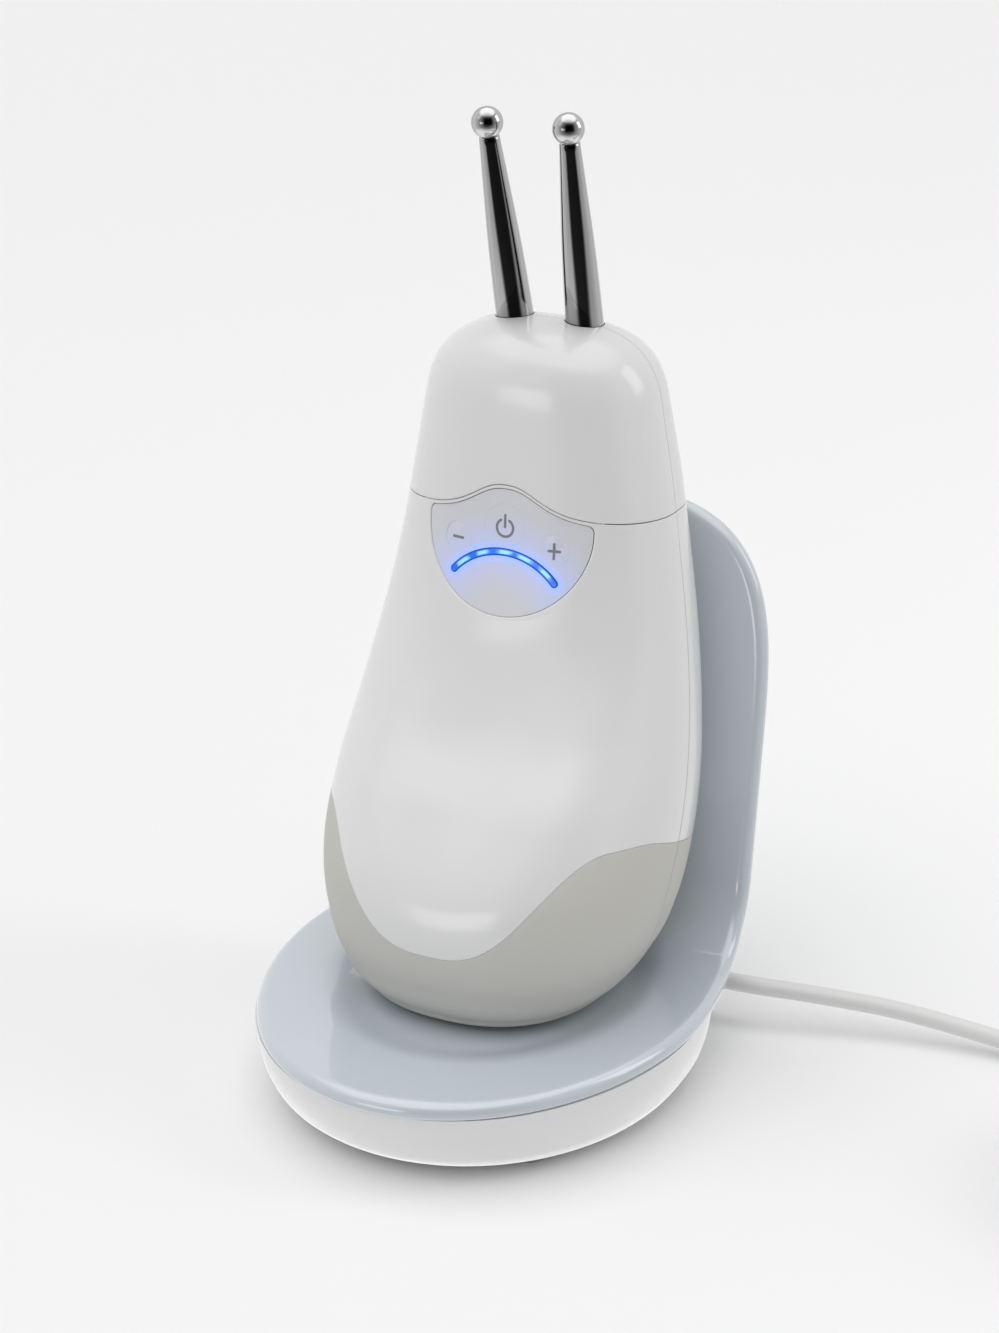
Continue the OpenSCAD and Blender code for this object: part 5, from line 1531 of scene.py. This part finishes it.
class CordLine:
    """The cord's line from the strain relief through the coil to the plug, in millimetres."""

    def __init__(self, device, places):
        cord = in_mm(device.cord)
        self.cord = cord
        self.low = cord.diameter / 2 + TIE_T + 0.15
        self.out = cord.coil_r + COIL_TURNS * cord.coil_pitch / 2
        route = [np.array(p) / MM for p in ROUTE]
        start = np.array([places.relief[0] + cord.relief_len, places.relief[1], places.relief[2]])
        end = np.array([COIL_MID[0], COIL_MID[1] + self.out, self.low])
        knots = [start + [cord.diameter / 2, 0, 0]] + route[1:-1] + [end]
        line = [start]
        for i in range(len(knots) - 1):
            a, b, c, d = (knots[min(max(k, 0), len(knots) - 1)] for k in range(i - 1, i + 3))
            for u in np.linspace(0, 1, 5)[:-1]:
                line.append(0.5 * (2 * b + (c - a) * u + (2 * a - 5 * b + 4 * c - d) * u * u
                                   + (3 * b - a - 3 * c + d) * u ** 3))
        total = COIL_TURNS * COIL_LAYERS
        turns = [self.coil(i / COIL_STEPS) for i in range(1, total * COIL_STEPS)]
        turns = [p for i, p in enumerate(turns) if i > 2 or p[0] > end[0] + cord.diameter + 1]
        last = self.coil(total)
        self.plug = last + [COIL_TAIL, 0, 0]
        tail = [last + [ahead, 0, 0] for ahead in (0.01, 2.7, 5.4, COIL_TAIL)]
        line += [end, end + [cord.diameter, 0, 0]] + turns + tail
        self.points = np.array(line)
        self.start = start

    def coil(self, t):
        """Point of the coil after t turns, which spiral in and out and climb a layer where they reverse."""
        k = math.floor(t / COIL_TURNS + 0.5)
        e = t - k * COIL_TURNS
        climb = k - 1 + float(ease((e + 0.25) / 0.5))
        layer = min(max(climb, 0), COIL_LAYERS - 1)
        k = math.floor(t / COIL_TURNS)
        e = t - k * COIL_TURNS
        radius = self.out - self.cord.coil_pitch * (e if k % 2 == 0 else COIL_TURNS - e)
        turn = 2 * math.pi * t
        return np.array([COIL_MID[0] + radius * math.sin(turn), COIL_MID[1] + radius * math.cos(turn),
                         self.low + self.cord.layer_step * layer])


class MakeCord(bpy.types.Operator):
    """Model the cord with its strain relief, the coil of its unseen length, the tie and the plug"""
    bl_idname = "toning.cord"
    bl_label = "Cord and plug"

    def tube(self, name, line, radius, sides=16):
        """A closed tube along a line."""
        ahead = np.gradient(line, axis=0)
        ahead /= np.linalg.norm(ahead, axis=1)[:, None]
        side = np.cross([0, 0, 1], ahead)
        side /= np.linalg.norm(side, axis=1)[:, None]
        up = np.cross(ahead, side)
        turn = np.linspace(0, 2 * math.pi, sides + 1)
        rings = [line + radius * (side * math.cos(t) + up * math.sin(t)) for t in turn]
        grid = np.array(rings).transpose(1, 0, 2)
        first, last = (np.repeat(line[at][None, None], sides + 1, 1) for at in (0, -1))
        return closed_grid(name, np.concatenate([first, grid, last]))

    def relief(self, places, cord):
        """The ribbed, tapered strain relief."""
        profile = [(0, -2.9), (3.4, -2.9), (3.4, -2.1), (2.7, -2.1), (2.7, 0), (3.6, 0), (3.6, 1.6)]
        for i in range(5):
            start = 2.2 + 3.2 * i
            profile += [(3.1 - 0.22 * i, start), (3.1 - 0.22 * i, start + 1.4), (2.6 - 0.14 * i, start + 1.4),
                        (2.55 - 0.14 * i, start + 2.6)]
        half, end = cord.diameter / 2, cord.relief_len
        profile += [(half + 0.25, end - 1.5), (half + 0.2, end), (0, end)]
        piece = lathe("strain_relief_piece", rounded_profile(profile, 0.25, 3), along_x(*places.relief), 64)
        return dress(piece, "cradle", "cord_white", "strain_relief", over=50)

    def tie(self, line):
        """A woven strap round the turns."""
        cord = line.cord
        low = line.out - COIL_TURNS * cord.coil_pitch - cord.diameter / 2 - 0.35
        high = line.out + cord.diameter / 2 + 0.35
        top = line.low + (COIL_LAYERS - 1) * cord.layer_step + cord.diameter / 2 + 0.35
        base = line.low - cord.diameter / 2 - 0.1
        inner = rounded_box(low, base, high, top, 1.2, 5)
        outer = rounded_box(low - TIE_T, base - TIE_T + 0.02, high + TIE_T, top + TIE_T, 1.2, 5)
        rows = []
        for x, ring in ((-3, inner), (-3, outer), (3, outer), (3, inner), (-3, inner)):
            ring = np.vstack([ring, ring[:1]])
            rows.append(stack(COIL_MID[0] + x, COIL_MID[1] - ring[:, 0], ring[:, 1]))
        piece = closed_grid("cord_tie_piece", rows)
        round_edges(piece, 0.12)
        return dress(piece, "cradle", "tie_black", "cord_tie")

    def plug_pieces(self, line):
        """The plug's rounded body and the tapered relief in front of it."""
        x, y, z = line.plug
        half = line.cord.diameter / 2
        profile = [(0, 0), (half + 0.35, 0), (half + 0.45, 1), (half + 0.5, 4), (2.55, 8), (2.95, 11.5),
                   (3.2, 14), (3.6, 18), (3.8, PLUG_RELIEF_LEN), (0, PLUG_RELIEF_LEN)]
        relief = lathe("plug_relief_piece", profile, along_x(x, y, z), 64)
        outline = rounded_box(y - 12, 0, y + 12, 2 * z, 3, 8)
        steps = ((0, 0.0), (0, 0.86), (0.4, 0.95), (1.3, 0.995), (2, 1.0), (34, 1.0), (36, 0.985),
                 (37.4, 0.93), (38, 0.84), (38, 0.0))
        centre = np.array([y, z])
        rows = []
        for along, size in steps:
            ring = centre + (np.vstack([outline, outline[:1]]) - centre) * size
            rows.append(stack(x + PLUG_RELIEF_LEN + along, ring[:, 0], ring[:, 1]))
        body = closed_grid("plug_body_piece", rows)
        dress(relief, "cradle", "cord_white", "plug_relief")
        dress(body, "cradle", "cord_white", "plug_body", over=30)
        return [relief, body]

    def execute(self, context):
        device, _form, places = work(context)
        line = CordLine(device, places)
        cord = self.tube("cord_piece", line.points, line.cord.diameter / 2)
        dress(cord, "cradle", "cord_white", "cord_run", "cord_coil", over=60)
        self.relief(places, line.cord)
        pieces = [self.tie(line), *self.plug_pieces(line), frame["nodes"]["plug_blades"]]
        run = float(np.linalg.norm(np.diff(line.points, axis=0), axis=1).sum()) * MM
        [tuple(p * MM) for p in line.points]
        return {"FINISHED"}


# ---- operators: CAD nodes and stage ---------------------------------------------------------

NODE_SLOTS = {
    "main_board": "board_green", "contact_board": "board_green", "leds": "led_body",
    "tact_switches": "screw_steel", "board_screws": "screw_steel", "base_screws": "screw_steel",
    "plug_blades": "screw_steel", "boost_coil": "wire_copper", "buzzer": "buzzer_black",
    "battery": "cell_wrap", "socket_block": "inner_plastic", "head_base": "inner_plastic",
    "rod_carrier": "inner_plastic", "contact_sockets": "contact_gold", "contact_pins": "contact_gold",
    "charge_pads": "contact_gold", "charge_pins": "contact_gold", "base_plate": "shell_white",
    "base_weight": "weight_iron",
}


class DressNodes(bpy.types.Operator):
    """Give each CAD node that stays in sight its finish"""
    bl_idname = "toning.nodes"
    bl_label = "Inner parts"

    def execute(self, context):
        for name, slot in NODE_SLOTS.items():
            part = frame["nodes"][name]
            if not part.material_slots:
                part.data.materials.append(None)
            for each in part.material_slots:
                each.material = finish(slot)
        return {"FINISHED"}


class SetStage(bpy.types.Operator):
    """Lay the pale floor, light it softly and set the camera at the photograph's angle"""
    bl_idname = "toning.stage"
    bl_label = "Stage"

    azimuth, elevation, distance = 26.0, 21.5, 0.45
    target = (0.0034, 0.0, 0.0813)
    focal = 91.17
    # Azimuths of the dark card and of the low window, from the front and towards the right
    card_at, window_at = 32.0, -14.0

    def floor(self, stage):
        """A pale floor that polished metal doesn't mirror."""
        deselect()
        bpy.ops.mesh.primitive_plane_add(size=12, location=(0, 0, 0))
        floor = bpy.context.object
        floor.name = "floor"
        made = bpy.data.materials.new("floor")
        made.use_nodes = True
        shader = made.node_tree.nodes["Principled BSDF"]
        shader.inputs["Base Color"].default_value = (*stage.floor, 1)
        shader.inputs["Roughness"].default_value = 0.75
        shader.inputs["Specular IOR Level"].default_value = 0.15
        floor.data.materials.append(made)
        floor.visible_glossy = False

    def sky(self, stage):
        """Even light, white behind the floor. Reflections show a dark card, a low window and bright ends."""
        world = bpy.data.worlds.new("studio")
        bpy.context.scene.world = world
        world.use_nodes = True
        tree = world.node_tree
        light = tree.nodes["Background"]
        place = node(tree, "TexCoord")
        split = node(tree, "SeparateXYZ")
        wire(tree, place.outputs["Generated"], split.inputs[0])
        across, deep, up = split.outputs["X"], split.outputs["Y"], split.outputs["Z"]
        flat = maths(tree, "SQRT", maths(tree, "SUBTRACT", 1.0001, maths(tree, "MULTIPLY", up, up)))

        def facing(azimuth):
            """How squarely a direction faces an azimuth in degrees, whatever its height."""
            turn = math.radians(azimuth)
            toward = maths(tree, "ADD", maths(tree, "MULTIPLY", across, math.sin(turn)),
                           maths(tree, "MULTIPLY", deep, -math.cos(turn)))
            return maths(tree, "DIVIDE", toward, flat)

        def zone(sideways, rise, fall):
            """A zone of directions, within a ramp sideways and between two ramps in height."""
            return maths(tree, "MULTIPLY", sideways,
                         maths(tree, "MULTIPLY", remap(tree, up, *rise), remap(tree, up, *fall)))

        card = facing(self.card_at)
        dark = zone(remap(tree, card, 0.7, 0.96), (-0.4, -0.05), (0.75, 0.45))
        wall = blend(tree, remap(tree, card, -0.6, 0.5), (0.95, 0.95, 0.95), (0.62, 0.62, 0.62))
        wall = blend(tree, remap(tree, up, 0.68, 0.86), wall, (1.9, 1.9, 1.9))
        wall = blend(tree, remap(tree, up, -0.45, -0.75), wall, (1.35, 1.35, 1.35))
        wall = blend(tree, dark, wall, (stage.dark_card,) * 3)
        window = zone(remap(tree, facing(self.window_at), 0.955, 0.99), (-0.14, -0.06), (0.2, 0.1))
        mirrored = blend(tree, window, wall, (stage.window,) * 3)
        rays = node(tree, "LightPath")
        seen = maths(tree, "MAXIMUM", rays.outputs["Is Camera Ray"], rays.outputs["Is Transmission Ray"])
        tone = blend(tree, rays.outputs["Is Glossy Ray"], (stage.sky,) * 3, mirrored)
        tone = blend(tree, seen, tone, (stage.sky_camera,) * 3)
        wire(tree, tone, light.inputs["Color"])
        light.inputs["Strength"].default_value = 1.0

    def lamp(self, name, kind, at, aim, **values):
        """A light, turned to a point."""
        deselect()
        bpy.ops.object.light_add(type=kind, location=at)
        lamp = bpy.context.object
        lamp.name = name
        lamp.rotation_euler = (Vector(aim) - Vector(at)).to_track_quat("-Z", "Y").to_euler()
        for label, value in values.items():
            setattr(lamp.data, label, value)
        return lamp

    def camera(self):
        """The photograph's view of the device."""
        a, e = math.radians(self.azimuth), math.radians(self.elevation)
        away = Vector((math.sin(a) * math.cos(e), -math.cos(a) * math.cos(e), math.sin(e)))
        at = Vector(self.target) + self.distance * away
        deselect()
        bpy.ops.object.camera_add(location=at)
        camera = bpy.context.object
        camera.rotation_euler = (-away).to_track_quat("-Z", "Y").to_euler()
        camera.data.sensor_fit = "HORIZONTAL"
        camera.data.sensor_width = 36
        camera.data.lens = self.focal
        camera.data.clip_start = 0.01
        bpy.context.scene.camera = camera

    def execute(self, context):
        stage = context.scene.toning_device.stage
        self.floor(stage)
        self.sky(stage)
        middle = (0, 0, 0.07)
        top = self.lamp("top_light", "SUN", (-0.25, -0.3, 1.4), middle, energy=stage.top_light,
                        angle=math.radians(75))
        top.visible_glossy = False
        self.lamp("left_softbox", "AREA", (-0.55, -0.55, 0.75), middle, energy=0.2, shape="RECTANGLE",
                  size=0.35, size_y=0.45)
        self.lamp("right_softbox", "AREA", (0.66, 0.3, 0.46), middle, energy=0.9, shape="RECTANGLE",
                  size=0.3, size_y=0.45)
        self.camera()
        context.scene.view_settings.view_transform = "Standard"
        return {"FINISHED"}


# ---- panel and start ------------------------------------------------------------------------

MAKERS = (SetStage, MakeCord, MakeBody, MakeGrips, MakePanel, MakeHead, MakeProbes, MakeTray, MakeBase,
          DressNodes)


class DevicePanel(bpy.types.Panel):
    """Sizes, finishes and makers of the toning device"""
    bl_idname = "VIEW3D_PT_toning_device"
    bl_label = "Facial toning device"
    bl_space_type = "VIEW_3D"
    bl_region_type = "UI"
    bl_category = "Toning device"

    def draw(self, context):
        device = context.scene.toning_device
        for maker in MAKERS:
            self.layout.operator(maker.bl_idname)
        for part in type(device).__annotations__:
            box = self.layout.box()
            group = getattr(device, part)
            for name in type(group).__annotations__:
                box.prop(group, name)


CLASSES = (HandsetSizes, PanelSizes, ProbeSizes, CradleSizes, CordSizes, Finishes, StageSettings,
           ToningDevice, *MAKERS, DevicePanel)


def register():
    for each in CLASSES:
        bpy.utils.register_class(each)
    bpy.types.Scene.toning_device = PointerProperty(type=ToningDevice)


def unregister():
    del bpy.types.Scene.toning_device
    for each in reversed(CLASSES):
        bpy.utils.unregister_class(each)


def main():
    register()
    bpy.ops.toning.stage()
    bpy.ops.toning.cord()
    bpy.ops.toning.body()
    bpy.ops.toning.grips()
    bpy.ops.toning.panel()
    bpy.ops.toning.head()
    bpy.ops.toning.probes()
    bpy.ops.toning.tray()
    bpy.ops.toning.base()
    bpy.ops.toning.nodes()
    deselect()


if __name__ == "__main__":
    main()
